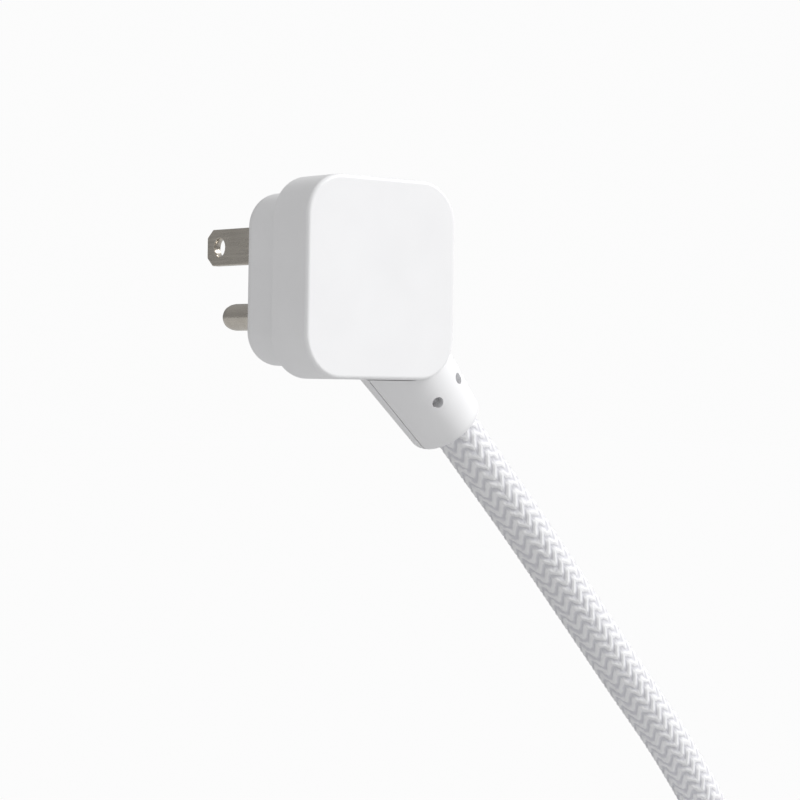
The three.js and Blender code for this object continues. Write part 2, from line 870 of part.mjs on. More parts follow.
function socketRelief() {
  const tip = -socketReliefLength;
  const body = turned([
    [0, tip],
    [socketReliefTip - 0.8, tip],
    [socketReliefTip, tip + 0.8],
    [socketReliefRadius, -gap],
    [neckRadius, -gap],
    [neckRadius, socketWall + gap],
    [flangeRadius, socketWall + gap],
    [flangeRadius, socketWall + gap + flangeThickness],
    [0, socketWall + gap + flangeThickness],
  ], 28);
  return cut(
    solidOf(body),
    solidOf(rod(0, 0, tip - 1, tip + cordSeat, cordRadius + gap)),
    solidOf(rod(0, 0, tip, socketWall + 4, wireBore)),
  );
}

// materials

function finish(color, roughness, metalness = 0) {
  return new THREE.MeshStandardMaterial({ color, roughness, metalness });
}

const whiteShell = finish(0xf0f0f1, 0.45);
const greyShell = finish(0xe6e6e8, 0.5);
const nickel = finish(0xb9b5aa, 0.3, 1);
const brass = finish(0xc9a24f, 0.35, 1);
const zincSteel = finish(0xa7aab0, 0.35, 1);
const insulator = finish(0x2b2c2e, 0.6);
const board = finish(0x1f6b3c, 0.5);
const relayCase = finish(0x24272b, 0.4);
const capacitorSleeve = finish(0x1d2a44, 0.4);
const varistorCoat = finish(0x2b5f9e, 0.45);
const fuseBody = finish(0xc8b48a, 0.5);
const ferrite = finish(0x3a3b3d, 0.7);
const shieldCan = finish(0xb4b7bb, 0.3, 1);
const clear = finish(0xe8eef2, 0.1);
const ledBody = finish(0xf3efe0, 0.35);
const braid = finish(0xe2e2e8, 0.9);
const strap = finish(0xd9d9dc, 0.8);
const lineWire = finish(0x1c1c1e, 0.5);
const neutralWire = finish(0xe9e9e6, 0.5);
const groundWire = finish(0x2f8f46, 0.5);

// assembly

const smartPlug = new THREE.Group();
smartPlug.rotation.x = Math.PI / 2;

function addPiece(name, shape, material, x = 0, y = 0, z = 0) {
  const geometry = shape.isBufferGeometry ? shape : geometryOf(shape);
  const mesh = new THREE.Mesh(geometry, material);
  mesh.name = name;
  mesh.position.set(x, y, z);
  smartPlug.add(mesh);
}

// shells
addPiece('rear_housing', rearHousing(), whiteShell);
addPiece('front_cover', frontCover(), whiteShell);

// pins and what holds them
addPiece('blade_neutral', blade(), nickel, -pinSpacing / 2, pinMiddle);
addPiece('blade_line', blade(), nickel, pinSpacing / 2, pinMiddle);
addPiece('ground_pin', groundPin(), nickel, 0, -pinMiddle);
addPiece('contact_carrier', contactCarrier(), insulator);

// main board and what is on it
addPiece('main_board', mainBoard(), board);
addPiece('board_screw_left', boardScrew(), zincSteel, -boardScrewX, boardScrewY);
addPiece('board_screw_right', boardScrew(), zincSteel, boardScrewX, boardScrewY);
addPiece('relay', new THREE.BoxGeometry(relaySize.x, relaySize.y, relaySize.z), relayCase,
  relayPlace.x, relayPlace.y, partsRear + relaySize.z / 2);
addPiece('capacitor', capacitor(), capacitorSleeve, capacitorPlace.x, capacitorPlace.y);
addPiece('varistor', new THREE.CylinderGeometry(varistorRadius, varistorRadius, varistorThickness, 24),
  varistorCoat, varistorPlace.x, varistorPlace.y, partsRear + varistorRadius);
addPiece('fuse',
  new THREE.CylinderGeometry(fuseRadius, fuseRadius, fuseLength, 16).rotateZ(Math.PI / 2),
  fuseBody, fusePlace.x, fusePlace.y, partsRear + fuseRadius);
addPiece('power_inductor', new THREE.BoxGeometry(inductorSize.x, inductorSize.y, inductorSize.z),
  ferrite, inductorPlace.x, inductorPlace.y, partsRear + inductorSize.z / 2);

// radio card
addPiece('pin_header',
  new THREE.BoxGeometry(headerSize.x, headerSize.y, radioRear - gap - partsRear), insulator,
  radioPlace.x + (radioBoard.width - headerSize.x) / 2, radioPlace.y,
  (partsRear + radioRear - gap) / 2);
addPiece('radio_board', new THREE.BoxGeometry(
  radioBoard.width, radioBoard.height, radioBoard.thickness,
), board, radioPlace.x, radioPlace.y, (radioRear + radioFront) / 2);
addPiece('radio_shield', new THREE.BoxGeometry(shieldSize.x, shieldSize.y, shieldSize.z), shieldCan,
  radioPlace.x, radioPlace.y, radioFront + gap + shieldSize.z / 2);

// button card, switch, button and indicator
const buttonBoardFront = buttonAt + switchSize.z / 2;
addPiece('button_board', new THREE.BoxGeometry(
  buttonBoard.width, buttonBoard.thickness, buttonBoardFront - partsRear,
), board, 0, buttonBoardBottom + buttonBoard.thickness / 2, (partsRear + buttonBoardFront) / 2);
addPiece('tact_switch', tactSwitch(), insulator);
addPiece('switch_plunger',
  levelRod(0, switchTop - plungerDepth + buttonTravel, plungerTop, buttonAt, plungerRadius),
  ledBody);
addPiece('push_button', pushButton(), whiteShell);
addPiece('status_led', new THREE.BoxGeometry(ledSize.x, ledSize.y, ledSize.z), ledBody,
  lightPipePlace, buttonBoardTop + gap + ledSize.y / 2, buttonAt);
addPiece('light_pipe', lightPipe(), clear);

// strain relief and wires
addPiece('strain_relief_front', reliefHalf(1), greyShell);
addPiece('strain_relief_rear', reliefHalf(-1), greyShell);
addPiece('wire_line', wire(linePad.turn, linePad.x, linePad.y), lineWire);
addPiece('wire_neutral', wire(neutralPad.turn, neutralPad.x, neutralPad.y), neutralWire);
addPiece('wire_ground', wire(groundPad.turn, groundPad.x, groundPad.y), groundWire);

// cord
const coilBody = solidOf(coilSolid(0));
const coilRoom = solidOf(coilSolid(gap));
addPiece('cord_lead', cut(solidOf(tube(leadPoints(), cordRadius, 12, cordSides)), coilRoom), braid);
addPiece('cord_coil', coilBody, braid);
addPiece('cord_tail', cut(solidOf(tube(tailPoints(), cordRadius, 11, cordSides)), coilRoom), braid);
addPiece('cord_tie', cordTie(), strap);

// in-line socket
addPiece('socket_relief', geometryOf(socketRelief()).applyMatrix4(socketFrame), greyShell);
addPiece('socket_rear', geometryOf(socketRear()).applyMatrix4(socketFrame), whiteShell);
addPiece('socket_face', geometryOf(socketFaceShell()).applyMatrix4(socketFrame), whiteShell);
addPiece('contact_block', geometryOf(contactBlock()).applyMatrix4(socketFrame), insulator);
addPiece('socket_contact_neutral',
  onSocket(moved(geometryOf(bladeContact()), -pinSpacing / 2, pinMiddle, 0)), brass);
addPiece('socket_contact_line',
  onSocket(moved(geometryOf(bladeContact()), pinSpacing / 2, pinMiddle, 0)), brass);
addPiece('socket_contact_ground',
  onSocket(moved(geometryOf(groundContact()), 0, -pinMiddle, 0)), brass);
addPiece('socket_screw', onSocket(socketScrew()), zincSteel);

export default smartPlug;
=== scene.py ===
from math import cos, pi, radians, sin

import bmesh
import bpy
import numpy as np
from mathutils import Matrix, Vector


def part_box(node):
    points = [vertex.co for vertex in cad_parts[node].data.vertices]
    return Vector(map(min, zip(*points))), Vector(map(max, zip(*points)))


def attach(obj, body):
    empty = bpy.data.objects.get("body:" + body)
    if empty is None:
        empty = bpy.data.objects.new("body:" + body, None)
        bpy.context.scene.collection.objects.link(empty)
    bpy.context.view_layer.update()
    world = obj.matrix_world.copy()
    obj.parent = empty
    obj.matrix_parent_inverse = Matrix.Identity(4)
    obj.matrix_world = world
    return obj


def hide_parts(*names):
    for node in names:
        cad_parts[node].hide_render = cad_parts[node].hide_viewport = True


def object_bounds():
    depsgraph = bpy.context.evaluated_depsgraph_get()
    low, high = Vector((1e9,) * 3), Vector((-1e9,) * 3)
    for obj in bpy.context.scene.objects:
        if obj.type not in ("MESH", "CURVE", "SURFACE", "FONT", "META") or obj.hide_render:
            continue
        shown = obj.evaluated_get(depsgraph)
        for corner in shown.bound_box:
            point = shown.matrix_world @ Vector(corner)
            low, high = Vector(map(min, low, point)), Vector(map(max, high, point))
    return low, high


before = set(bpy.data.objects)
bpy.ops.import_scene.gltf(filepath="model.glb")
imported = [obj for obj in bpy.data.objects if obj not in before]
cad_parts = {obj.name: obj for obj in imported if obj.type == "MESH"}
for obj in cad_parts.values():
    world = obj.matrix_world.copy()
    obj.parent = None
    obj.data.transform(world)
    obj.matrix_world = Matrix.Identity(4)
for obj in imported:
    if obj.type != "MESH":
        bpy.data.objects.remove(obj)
cadLow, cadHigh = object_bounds()

mm = 0.001
gap = 0.3 * mm  # what touching pieces keep between them
past = 0.001  # how far a cutter runs past the face it opens
sharp = 1e-5  # the corner radius of an outline with square corners

# Everything is in metres: x to the right, z up, and y into the wall, so a depth out of the
# wall is minus y. The origin is the middle of the face that meets the outlet.


# shared tools

def addObject(name, data):
    made = bpy.data.objects.new(name, data)
    bpy.context.scene.collection.objects.link(made)
    return made


def middleOf(low, high):
    return [(a + b) / 2 for a, b in zip(low, high)]


def quarterTurns(steps, first=0):
    # angles up to a quarter turn, for rounded edges
    return [i / steps * pi / 2 for i in range(first, steps + 1)]


# node tools

def setOrLink(tree, socket, value):
    if isinstance(value, bpy.types.NodeSocket):
        tree.links.new(value, socket)
    else:
        socket.default_value = value


def addNode(tree, kind, inputs=None, **settings):
    made = tree.nodes.new(kind)
    for key, value in settings.items():
        setattr(made, key, value)
    for key, value in (inputs or {}).items():
        setOrLink(tree, made.inputs[key], value)
    return made


def maths(tree, operation, *values):
    return addNode(tree, "ShaderNodeMath", dict(enumerate(values)), operation=operation).outputs[0]


def remap(tree, value, fromLow, fromHigh, toLow, toHigh, smooth=False):
    ends = {
        "Value": value, "From Min": fromLow, "From Max": fromHigh, "To Min": toLow, "To Max": toHigh,
    }
    kind = "SMOOTHSTEP" if smooth else "LINEAR"
    return addNode(tree, "ShaderNodeMapRange", ends, interpolation_type=kind).outputs["Result"]


def noise(tree, place, scale, detail=2.0, roughness=0.5):
    return addNode(tree, "ShaderNodeTexNoise", {
        "Vector": place, "Scale": scale, "Detail": detail, "Roughness": roughness,
    }).outputs["Fac"]


def stretched(tree, place, scale, rotation=(0.0, 0.0, 0.0)):
    return addNode(tree, "ShaderNodeMapping", {
        "Vector": place, "Rotation": rotation, "Scale": scale,
    }).outputs[0]


def objectPlace(tree):
    return addNode(tree, "ShaderNodeTexCoord").outputs["Object"]


def blendColours(tree, mask, first, second):
    first, second = (
        tone if isinstance(tone, bpy.types.NodeSocket) else (*tone, 1) for tone in (first, second)
    )
    mixed = addNode(tree, "ShaderNodeMix", {0: mask, 6: first, 7: second}, data_type="RGBA")
    return mixed.outputs[2]


def shaded(colour, share):
    return tuple(part * share for part in colour)


def forCamera(tree, lighting, seen, share, output):
    # the camera sees this share of one shader, and everything else gets the other
    rays = addNode(tree, "ShaderNodeLightPath").outputs["Is Camera Ray"]
    either = addNode(tree, "ShaderNodeMixShader", {
        "Fac": maths(tree, "MULTIPLY", rays, share), 1: lighting.outputs[0], 2: seen.outputs[0],
    })
    tree.links.new(either.outputs[0], output.inputs["Surface"])


def newMaterial(name, colour, roughness, metallic=0.0):
    made = bpy.data.materials.new(name)
    made.use_nodes = True
    tree = made.node_tree
    shader = tree.nodes["Principled BSDF"]
    shader.inputs["Base Color"].default_value = (*colour, 1)
    shader.inputs["Roughness"].default_value = roughness
    shader.inputs["Metallic"].default_value = metallic
    return made, tree, shader


def addBump(tree, shader, height, distance, strength=1.0):
    made = addNode(tree, "ShaderNodeBump", {
        "Height": height, "Distance": distance, "Strength": strength,
    })
    tree.links.new(made.outputs["Normal"], shader.inputs["Normal"])


# camera and studio

camera = {
    "place": (-0.2378, -0.3075, -0.0165),
    "right": (0.7627, -0.6465, 0.0150),
    "up": (-0.0197, 0.0, 0.9998),
    "lens": 101.9,
    "shiftY": -0.062,
    "nearest": 0.01,
    "farthest": 30.0,
}

studio = {
    "floorBelow": 0.002,
    "floorReach": 6.0,
    "floorTone": 0.60,
    "floorGlow": 0.93,
    "skyShown": 0.971,
    "skyLight": 0.86,
    "skyBelow": 0.30,  # the share of it that comes from below
    "skyFront": 1.15,  # from the side of the room
    "skyBehind": 0.45,  # and from the side of the outlet
    "keyFrom": (0.60, -0.56, 0.58),
    "keyStrength": 2.2,
    "keySpread": 24.0,  # degrees
}


def makeCamera():
    data = bpy.data.cameras.new("mainCamera")
    data.lens = camera["lens"]
    data.shift_y = camera["shiftY"]
    data.clip_start = camera["nearest"]
    data.clip_end = camera["farthest"]
    right = Vector(camera["right"]).normalized()
    back = right.cross(Vector(camera["up"])).normalized()
    turn = Matrix((right, back.cross(right), back)).transposed().to_4x4()
    made = addObject("mainCamera", data)
    made.matrix_world = Matrix.Translation(camera["place"]) @ turn
    bpy.context.scene.camera = made


def makeKeyLight():
    data = bpy.data.lights.new("keyLight", "SUN")
    data.energy = studio["keyStrength"]
    data.angle = radians(studio["keySpread"])
    lamp = addObject("keyLight", data)
    lamp.rotation_euler = Vector(studio["keyFrom"]).to_track_quat("Z", "Y").to_euler()


def makeSky():
    world = bpy.data.worlds.new("softWhite")
    world.use_nodes = True
    tree = world.node_tree
    # the room side and the ceiling give more light than the outlet's side and the ground
    towards = addNode(tree, "ShaderNodeTexCoord").outputs["Generated"]
    parts = addNode(tree, "ShaderNodeSeparateXYZ", {0: towards}).outputs
    most = studio["skyLight"]
    height = remap(tree, parts["Z"], -1.0, 1.0, studio["skyBelow"] * most, most)
    depth = remap(tree, parts["Y"], -1.0, 1.0, studio["skyFront"], studio["skyBehind"])
    light = tree.nodes["Background"]
    light.inputs["Color"].default_value = (1, 1, 1, 1)
    setOrLink(tree, light.inputs["Strength"], maths(tree, "MULTIPLY", height, depth))
    shown = addNode(tree, "ShaderNodeBackground", {
        "Color": (1, 1, 1, 1), "Strength": studio["skyShown"],
    })
    forCamera(tree, light, shown, 1.0, tree.nodes["World Output"])
    bpy.context.scene.world = world
    bpy.context.scene.view_settings.view_transform = "Standard"


def makeFloor():
    low = cadLow.z - studio["floorBelow"]
    reach = studio["floorReach"]
    corners = [(-reach, -reach, low), (reach, -reach, low), (reach, reach, low), (-reach, reach, low)]
    data = bpy.data.meshes.new("studioFloor")
    data.from_pydata(corners, [], [(0, 1, 2, 3)])
    paint, tree, shader = newMaterial("floorPaint", [studio["floorTone"]] * 3, 0.9)
    shader.inputs["Specular IOR Level"].default_value = 0.1
    # it shows nearly white, as a lit studio sweep does, and still takes a faint shadow
    glow = addNode(tree, "ShaderNodeEmission")
    forCamera(tree, shader, glow, studio["floorGlow"], tree.nodes["Material Output"])
    data.materials.append(paint)
    addObject("studioFloor", data)


makeCamera()
makeSky()
makeKeyLight()
makeFloor()
print("camera and studio ready")


# shared effects

def newGroup(name, takes, gives):
    # it takes a start value under each name, or None for a vector
    group = bpy.data.node_groups.new(name, "ShaderNodeTree")
    for label, start in takes.items():
        kind = "NodeSocketVector" if start is None else "NodeSocketFloat"
        made = group.interface.new_socket(name=label, in_out="INPUT", socket_type=kind)
        if start is not None:
            made.default_value = start
    for label in gives:
        group.interface.new_socket(name=label, in_out="OUTPUT", socket_type="NodeSocketFloat")
    entry = group.nodes.new("NodeGroupInput")
    leave = group.nodes.new("NodeGroupOutput")
    return group, entry.outputs, leave.inputs


def useGroup(tree, group, inputs):
    return addNode(tree, "ShaderNodeGroup", inputs, node_tree=group).outputs


def makeMouldGrain():
    # the fine spark-eroded texture of a satin moulding, with its faint flow marks
    takes = {"Position": None, "Grain Scale": 5200.0}
    group, take, give = newGroup("mouldGrain", takes, ["Height", "Flow"])
    grain = noise(group, take["Position"], take["Grain Scale"], 3.0, 0.6)
    waves = noise(group, take["Position"], 85.0)
    fine = maths(group, "MULTIPLY", grain, 0.8)
    broad = maths(group, "MULTIPLY", waves, 0.2)
    setOrLink(group, give["Height"], maths(group, "ADD", fine, broad))
    setOrLink(group, give["Flow"], remap(group, waves, 0.3, 0.7, 0.0, 1.0))
    return group


def makeHandlingWear():
    # faint smudges from handling, and a few finer scuffs
    takes = {"Position": None, "Patch Scale": 60.0}
    group, take, give = newGroup("handlingWear", takes, ["Smudge", "Scuff"])
    patches = noise(group, take["Position"], take["Patch Scale"], 4.0, 0.65)
    drawn = stretched(group, take["Position"], (1.0, 1.0, 9.0), (0.3, 0.6, 0.2))
    lines = noise(group, drawn, 900.0)
    setOrLink(group, give["Smudge"], remap(group, patches, 0.45, 0.75, 0.0, 1.0, True))
    setOrLink(group, give["Scuff"], remap(group, lines, 0.68, 0.8, 0.0, 1.0, True))
    return group


def makeBrushedLines():
    # drawn or ground metal: long fine lines along y of the given position
    takes = {"Position": None, "Line Scale": 3000.0}
    group, take, give = newGroup("brushedLines", takes, ["Height", "Streak"])
    squeezed = stretched(group, take["Position"], (1.0, 0.04, 1.0))
    lines = noise(group, squeezed, take["Line Scale"], 3.0)
    setOrLink(group, give["Height"], lines)
    setOrLink(group, give["Streak"], remap(group, lines, 0.35, 0.65, 0.0, 1.0))
    return group


mouldGrain = makeMouldGrain()
handlingWear = makeHandlingWear()
brushedLines = makeBrushedLines()

plastic = {
    "flowShade": 0.97,  # how much darker a flow mark is
    "smudgeRough": 0.07,
    "scuffRough": 0.06,
}

plating = {
    "smudgeShade": 0.86,
    "streakSmooth": 0.05,
    "streakRough": 0.08,
    "smudgeRough": 0.08,
    "patchScale": 140.0,
    "lineDepth": 0.003 * mm,
}


def mouldedPlastic(name, colour, roughness=0.42, grain=5200.0, depth=0.004):
    made, tree, shader = newMaterial(name, colour, roughness)
    place = objectPlace(tree)
    surface = useGroup(tree, mouldGrain, {"Position": place, "Grain Scale": grain})
    wear = useGroup(tree, handlingWear, {"Position": place})
    tone = blendColours(tree, surface["Flow"], colour, shaded(colour, plastic["flowShade"]))
    tree.links.new(tone, shader.inputs["Base Color"])
    rough = remap(tree, wear["Smudge"], 0.0, 1.0, roughness, roughness + plastic["smudgeRough"])
    scuffs = maths(tree, "MULTIPLY", wear["Scuff"], plastic["scuffRough"])
    tree.links.new(maths(tree, "ADD", rough, scuffs), shader.inputs["Roughness"])
    addBump(tree, shader, surface["Height"], depth * mm, 0.6)
    return made


def platedMetal(name, colour, roughness=0.25):
    made, tree, shader = newMaterial(name, colour, roughness, 1.0)
    place = objectPlace(tree)
    drawn = useGroup(tree, brushedLines, {"Position": place})
    wear = useGroup(tree, handlingWear, {"Position": place, "Patch Scale": plating["patchScale"]})
    tone = blendColours(tree, wear["Smudge"], colour, shaded(colour, plating["smudgeShade"]))
    tree.links.new(tone, shader.inputs["Base Color"])
    smoothest = roughness - plating["streakSmooth"]
    rough = remap(tree, drawn["Streak"], 0.0, 1.0, smoothest, roughness + plating["streakRough"])
    smudges = maths(tree, "MULTIPLY", wear["Smudge"], plating["smudgeRough"])
    tree.links.new(maths(tree, "ADD", rough, smudges), shader.inputs["Roughness"])
    addBump(tree, shader, drawn["Height"], plating["lineDepth"], 0.5)
    return made


# mesh tools

def newPiece(name, mesh, material, slotName, *nodes, body="root", sharpAngle=32.0):
    mesh.name = name
    mesh.materials.clear()
    mesh.materials.append(material)
    mesh.shade_smooth()
    mesh.set_sharp_from_angle(angle=radians(sharpAngle))
    made = addObject(name, mesh)
    even = made.modifiers.new("evenShading", "WEIGHTED_NORMAL")
    even.keep_sharp = True
    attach(made, body)
    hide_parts(*nodes)
    return made


def closedMesh(points, faces):
    mesh = bpy.data.meshes.new("solid")
    mesh.from_pydata([tuple(point) for point in points], [], faces)
    mesh.validate()
    return tidied(mesh)


def tidied(mesh):
    work = bmesh.new()
    work.from_mesh(mesh)
    bmesh.ops.remove_doubles(work, verts=work.verts, dist=1e-7)
    bmesh.ops.recalc_face_normals(work, faces=work.faces)
    work.to_mesh(mesh)
    work.free()
    return mesh


def softOutline(width, height, corner, steps=14):
    points = []
    for turn, (sideX, sideY) in enumerate([(1, 1), (-1, 1), (-1, -1), (1, -1)]):
        middleX = sideX * (width / 2 - corner)
        middleY = sideY * (height / 2 - corner)
        for step in range(steps + 1):
            angle = (turn + step / steps) * pi / 2
            points.append((middleX + corner * cos(angle), middleY + corner * sin(angle)))
    return points


def ringsToMesh(rings, closed=False):
    # a skin through rings of equal length, closed on itself or with a flat face at each end
    count = len(rings[0])
    points = [point for ring in rings for point in ring]
    faces = []
    for level in range(len(rings) if closed else len(rings) - 1):
        low, high = level * count, (level + 1) % len(rings) * count
        for i in range(count):
            j = (i + 1) % count
            faces.append((low + i, low + j, high + j, high + i))
    if not closed:
        faces.append(tuple(reversed(range(count))))
        faces.append(tuple(range(len(points) - count, len(points))))
    return closedMesh(points, faces)


def softStack(levels, steps, place):
    # levels are (width, height, corner, how far along z of the place)
    rings = []
    for width, height, corner, along in levels:
        rings.append([place @ Vector((x, y, along)) for x, y in softOutline(width, height, corner, steps)])
    return ringsToMesh(rings)


def turnedRings(profile, sides, place):
    # a turned solid; the profile is (radius, how far along z of the place)
    angles = [2 * pi * i / sides for i in range(sides)]
    return ringsToMesh([
        [place @ Vector((radius * cos(angle), radius * sin(angle), along)) for angle in angles]
        for radius, along in profile
    ])


def finishedMesh(made, *tools):
    # the first object's mesh with its modifiers applied; then all these objects are removed
    depsgraph = bpy.context.evaluated_depsgraph_get()
    result = bpy.data.meshes.new_from_object(made.evaluated_get(depsgraph))
    for used in (made, *tools):
        bpy.data.objects.remove(used)
    return result


def carved(mesh, cutters, operation="DIFFERENCE"):
    # the mesh less each cutter, or joined to it, or only what the two share
    work = addObject("work", mesh)
    tools = [addObject("cutter", cutter) for cutter in cutters]
    for tool in tools:
        step = work.modifiers.new("carve", "BOOLEAN")
        step.operation = operation
        step.solver = "EXACT"
        step.object = tool
    return finishedMesh(work, *tools)


def softened(mesh, width):
    # a small round on every sharp edge
    work = addObject("work", mesh)
    step = work.modifiers.new("soften", "BEVEL")
    step.width = width
    step.segments = 2
    step.limit_method = "ANGLE"
    step.angle_limit = radians(40)
    step.use_clamp_overlap = True
    return finishedMesh(work)


# from (x, up, depth out of the wall) to the frame's own axes
onWall = Matrix(((1, 0, 0, 0), (0, 0, -1, 0), (0, 1, 0, 0), (0, 0, 0, 1)))


def boxMesh(centre, size, place=onWall):
    x, y, z = centre
    width, height, depth = size
    levels = [(width, height, sharp, z + end) for end in (-depth / 2, depth / 2)]
    return softStack(levels, 1, place @ Matrix.Translation((x, y, 0)))


def rodMesh(centre, radius, start, end, sides=48, place=onWall):
    shift = place @ Matrix.Translation((*centre, 0))
    return turnedRings([(radius, start), (radius, end)], sides, shift)


# cord

cord = {
    "diameter": 0.0083,
    "sides": 48,
    "fineStep": 0.00037,
    "fineLength": 0.175,  # how much of the cord has rows of yarn that stand out
    "fineBelow": 0.001,  # a step shorter than this is a fine one
    "coarseStep": 0.0019,
    "teeth": 8,  # zigzags round the braid
    "rowPitch": 0.0024,
    "zigzag": 0.74,  # height of a tooth, in rows
    "ridge": 0.00030,  # how far a row of yarn stands out
    "boreGap": 0.05 * mm,  # what a strain relief keeps from the cord
}

# The cord's route, as the part's source has it: (x, depth out of the wall, z)
leadRoute = [
    (0.01738, 0.0134, -0.01733),
    (0.02351, 0.0134, -0.02403),
    (0.0405, 0.0134, -0.0418),
    (0.0540, 0.0134, -0.0565),
    (0.0675, 0.0134, -0.0713),
    (0.0810, 0.0133, -0.0860),
    (0.0920, 0.0126, -0.0995),
    (0.1015, 0.0112, -0.1140),
    (0.1088, 0.0098, -0.1300),
    (0.1130, 0.00925, -0.1470),
]

coil = {
    "centre": (0.0585, 0.0134, -0.170),
    "middleRadius": 0.0495,
    "arrives": 10.0,  # degrees above the horizontal, where the lead has joined the outer turn
    "leaves": 128.0,  # where the tail's own route takes over from the inner turn
    "turns": 5,
    "spacing": 9.0,  # degrees between route points
}

# Where the cord changes lane as it goes round: the turn, the angles it begins and ends at, and
# the shift outwards and towards the room, in diameters.
laneChanges = [
    (1, 92, 42, 0, 1),
    (2, 166, 96, -1, 0),
    (3, 225, 170, 0, -1),
    (4, 309, 229, -1, 0),
    (5, 360, 309, 0, 1),
    (5, 210, 90, -0.34, 1.13),
]

tailRoute = [  # from the coil's middle
    (-0.0145, 0.0136, 0.0360),
    (-0.0040, 0.0162, 0.0380),
    (0.0065, 0.0186, 0.0363),
    (0.0160, 0.0214, 0.0315),
    (0.0235, 0.0240, 0.0240),
    (0.0283, 0.0256, 0.0145),
    (0.0300, 0.0260, 0.0040),
    (0.0300, 0.0260, 0.0003),
]


def smoothStep(share):
    share = min(max(share, 0.0), 1.0)
    return share * share * (3 - 2 * share)


def lanePlace(angle):
    # how far out and how far towards the room the cord is; the angle falls from its arrival
    diameter = cord["diameter"]
    radius = coil["middleRadius"] + diameter
    forwards = -diameter / 2
    for turn, begin, end, outShift, roomShift in laneChanges:
        share = smoothStep((begin - 360 * turn - angle) / (begin - end))
        radius += outShift * diameter * share
        forwards += roomShift * diameter * share
    return radius, forwards


def coilRoute():
    points = []
    x, depth, z = coil["centre"]
    angle = coil["arrives"]
    while angle > coil["leaves"] - 360 * coil["turns"]:
        radius, forwards = lanePlace(angle)
        turn = radians(angle)
        points.append((x + radius * cos(turn), depth + forwards, z + radius * sin(turn)))
        angle -= coil["spacing"]
    return points


def throughPoints(controls, spacing):
    # a smooth curve through the points, then points along it at the wanted spacing
    controls = np.array(controls)
    steps = np.linalg.norm(np.diff(controls, axis=0), axis=1)
    times = np.concatenate([[0], np.cumsum(steps)])
    slopes = np.zeros_like(controls)
    rates = np.diff(controls, axis=0) / steps[:, None]
    slopes[0], slopes[-1] = rates[0], rates[-1]
    weight = steps[:-1] / (steps[:-1] + steps[1:])
    slopes[1:-1] = rates[:-1] * (1 - weight[:, None]) + rates[1:] * weight[:, None]
    places = []
    here = 0.0
    while here < times[-1]:
        places.append(here)
        here += spacing(here)
    places.append(times[-1])
    places = np.array(places)
    span = np.clip(np.searchsorted(times, places, side="right") - 1, 0, len(steps) - 1)
    length = steps[span][:, None]
    t = ((places - times[span]) / steps[span])[:, None]
    start, end = controls[span], controls[span + 1]
    startSlope, endSlope = slopes[span] * length, slopes[span + 1] * length
    return (
        (2 * t**3 - 3 * t**2 + 1) * start + (t**3 - 2 * t**2 + t) * startSlope
        + (3 * t**2 - 2 * t**3) * end + (t**3 - t**2) * endSlope
    )


def cordRoute():
    x, depth, z = coil["centre"]
    tail = [(x + a, depth + b, z + c) for a, b, c in tailRoute]
    controls = [(a, -b, c) for a, b, c in [*leadRoute, *coilRoute(), *tail]]

    def spacing(here):
        return cord["fineStep"] if here < cord["fineLength"] else cord["coarseStep"]

    return throughPoints(controls, spacing)


def braidHeight(teeth, rows):
    # 0 in the valley between two zigzag rows, 1 on the ridge of one
    tooth = np.abs(teeth - np.floor(teeth) - 0.5) * 2
    tooth = tooth * tooth * (3 - 2 * tooth)
    wave = rows + cord["zigzag"] * tooth
    return 0.5 - 0.5 * np.cos(2 * pi * wave)


def stepLengths(route):
    return np.linalg.norm(np.diff(route, axis=0), axis=1)


def carriedAcross(route, tangents):
    # a direction across the cord at each point, carried along without twisting
    across = np.zeros_like(route)
    start = np.cross(tangents[0], (0, 1, 0))
    across[0] = start / np.linalg.norm(start)
    for i in range(1, len(route)):
        turned = across[i - 1] - tangents[i] * np.dot(across[i - 1], tangents[i])
        across[i] = turned / np.linalg.norm(turned)
    return across


def cordPoints(route, rows):
    # rings of points round the route; only where they lie close together do the rows stand out
    sides = cord["sides"]
    tangents = np.gradient(route, axis=0)
    tangents /= np.linalg.norm(tangents, axis=1)[:, None]
    across = carriedAcross(route, tangents)
    other = np.cross(tangents, across)
    angles = np.arange(sides) * 2 * pi / sides
    teeth = np.arange(sides) * cord["teeth"] / sides
    ridge = braidHeight(teeth[None, :], rows[:, None])
    steps = stepLengths(route)
    nextStep = steps[np.minimum(np.arange(len(route)), len(steps) - 1)]
    fine = (nextStep < cord["fineBelow"])[:, None]
    radii = cord["diameter"] / 2 - cord["ridge"] * np.where(fine, 1 - ridge, 0.5)
    around = (
        across[:, None, :] * np.cos(angles)[None, :, None]
        + other[:, None, :] * np.sin(angles)[None, :, None]
    )
    return route[:, None, :] + around * radii[:, :, None]


def addBraidMap(mesh, rows):
    # teeth round the cord and rows along it, at the corners of every side face
    sides = cord["sides"]
    perTooth = cord["teeth"] / sides
    uv = np.zeros((len(mesh.loops), 2))
    index = np.arange((len(rows) - 1) * sides)
    ring, side = index // sides, index % sides
    for corner, (alongStep, sideStep) in enumerate([(0, 0), (0, 1), (1, 1), (1, 0)]):
        uv[index * 4 + corner, 0] = (side + sideStep) * perTooth
        uv[index * 4 + corner, 1] = rows[ring + alongStep]
    layer = mesh.uv_layers.new(name="braidMap")
    layer.data.foreach_set("uv", uv.reshape(-1).astype(np.float32))


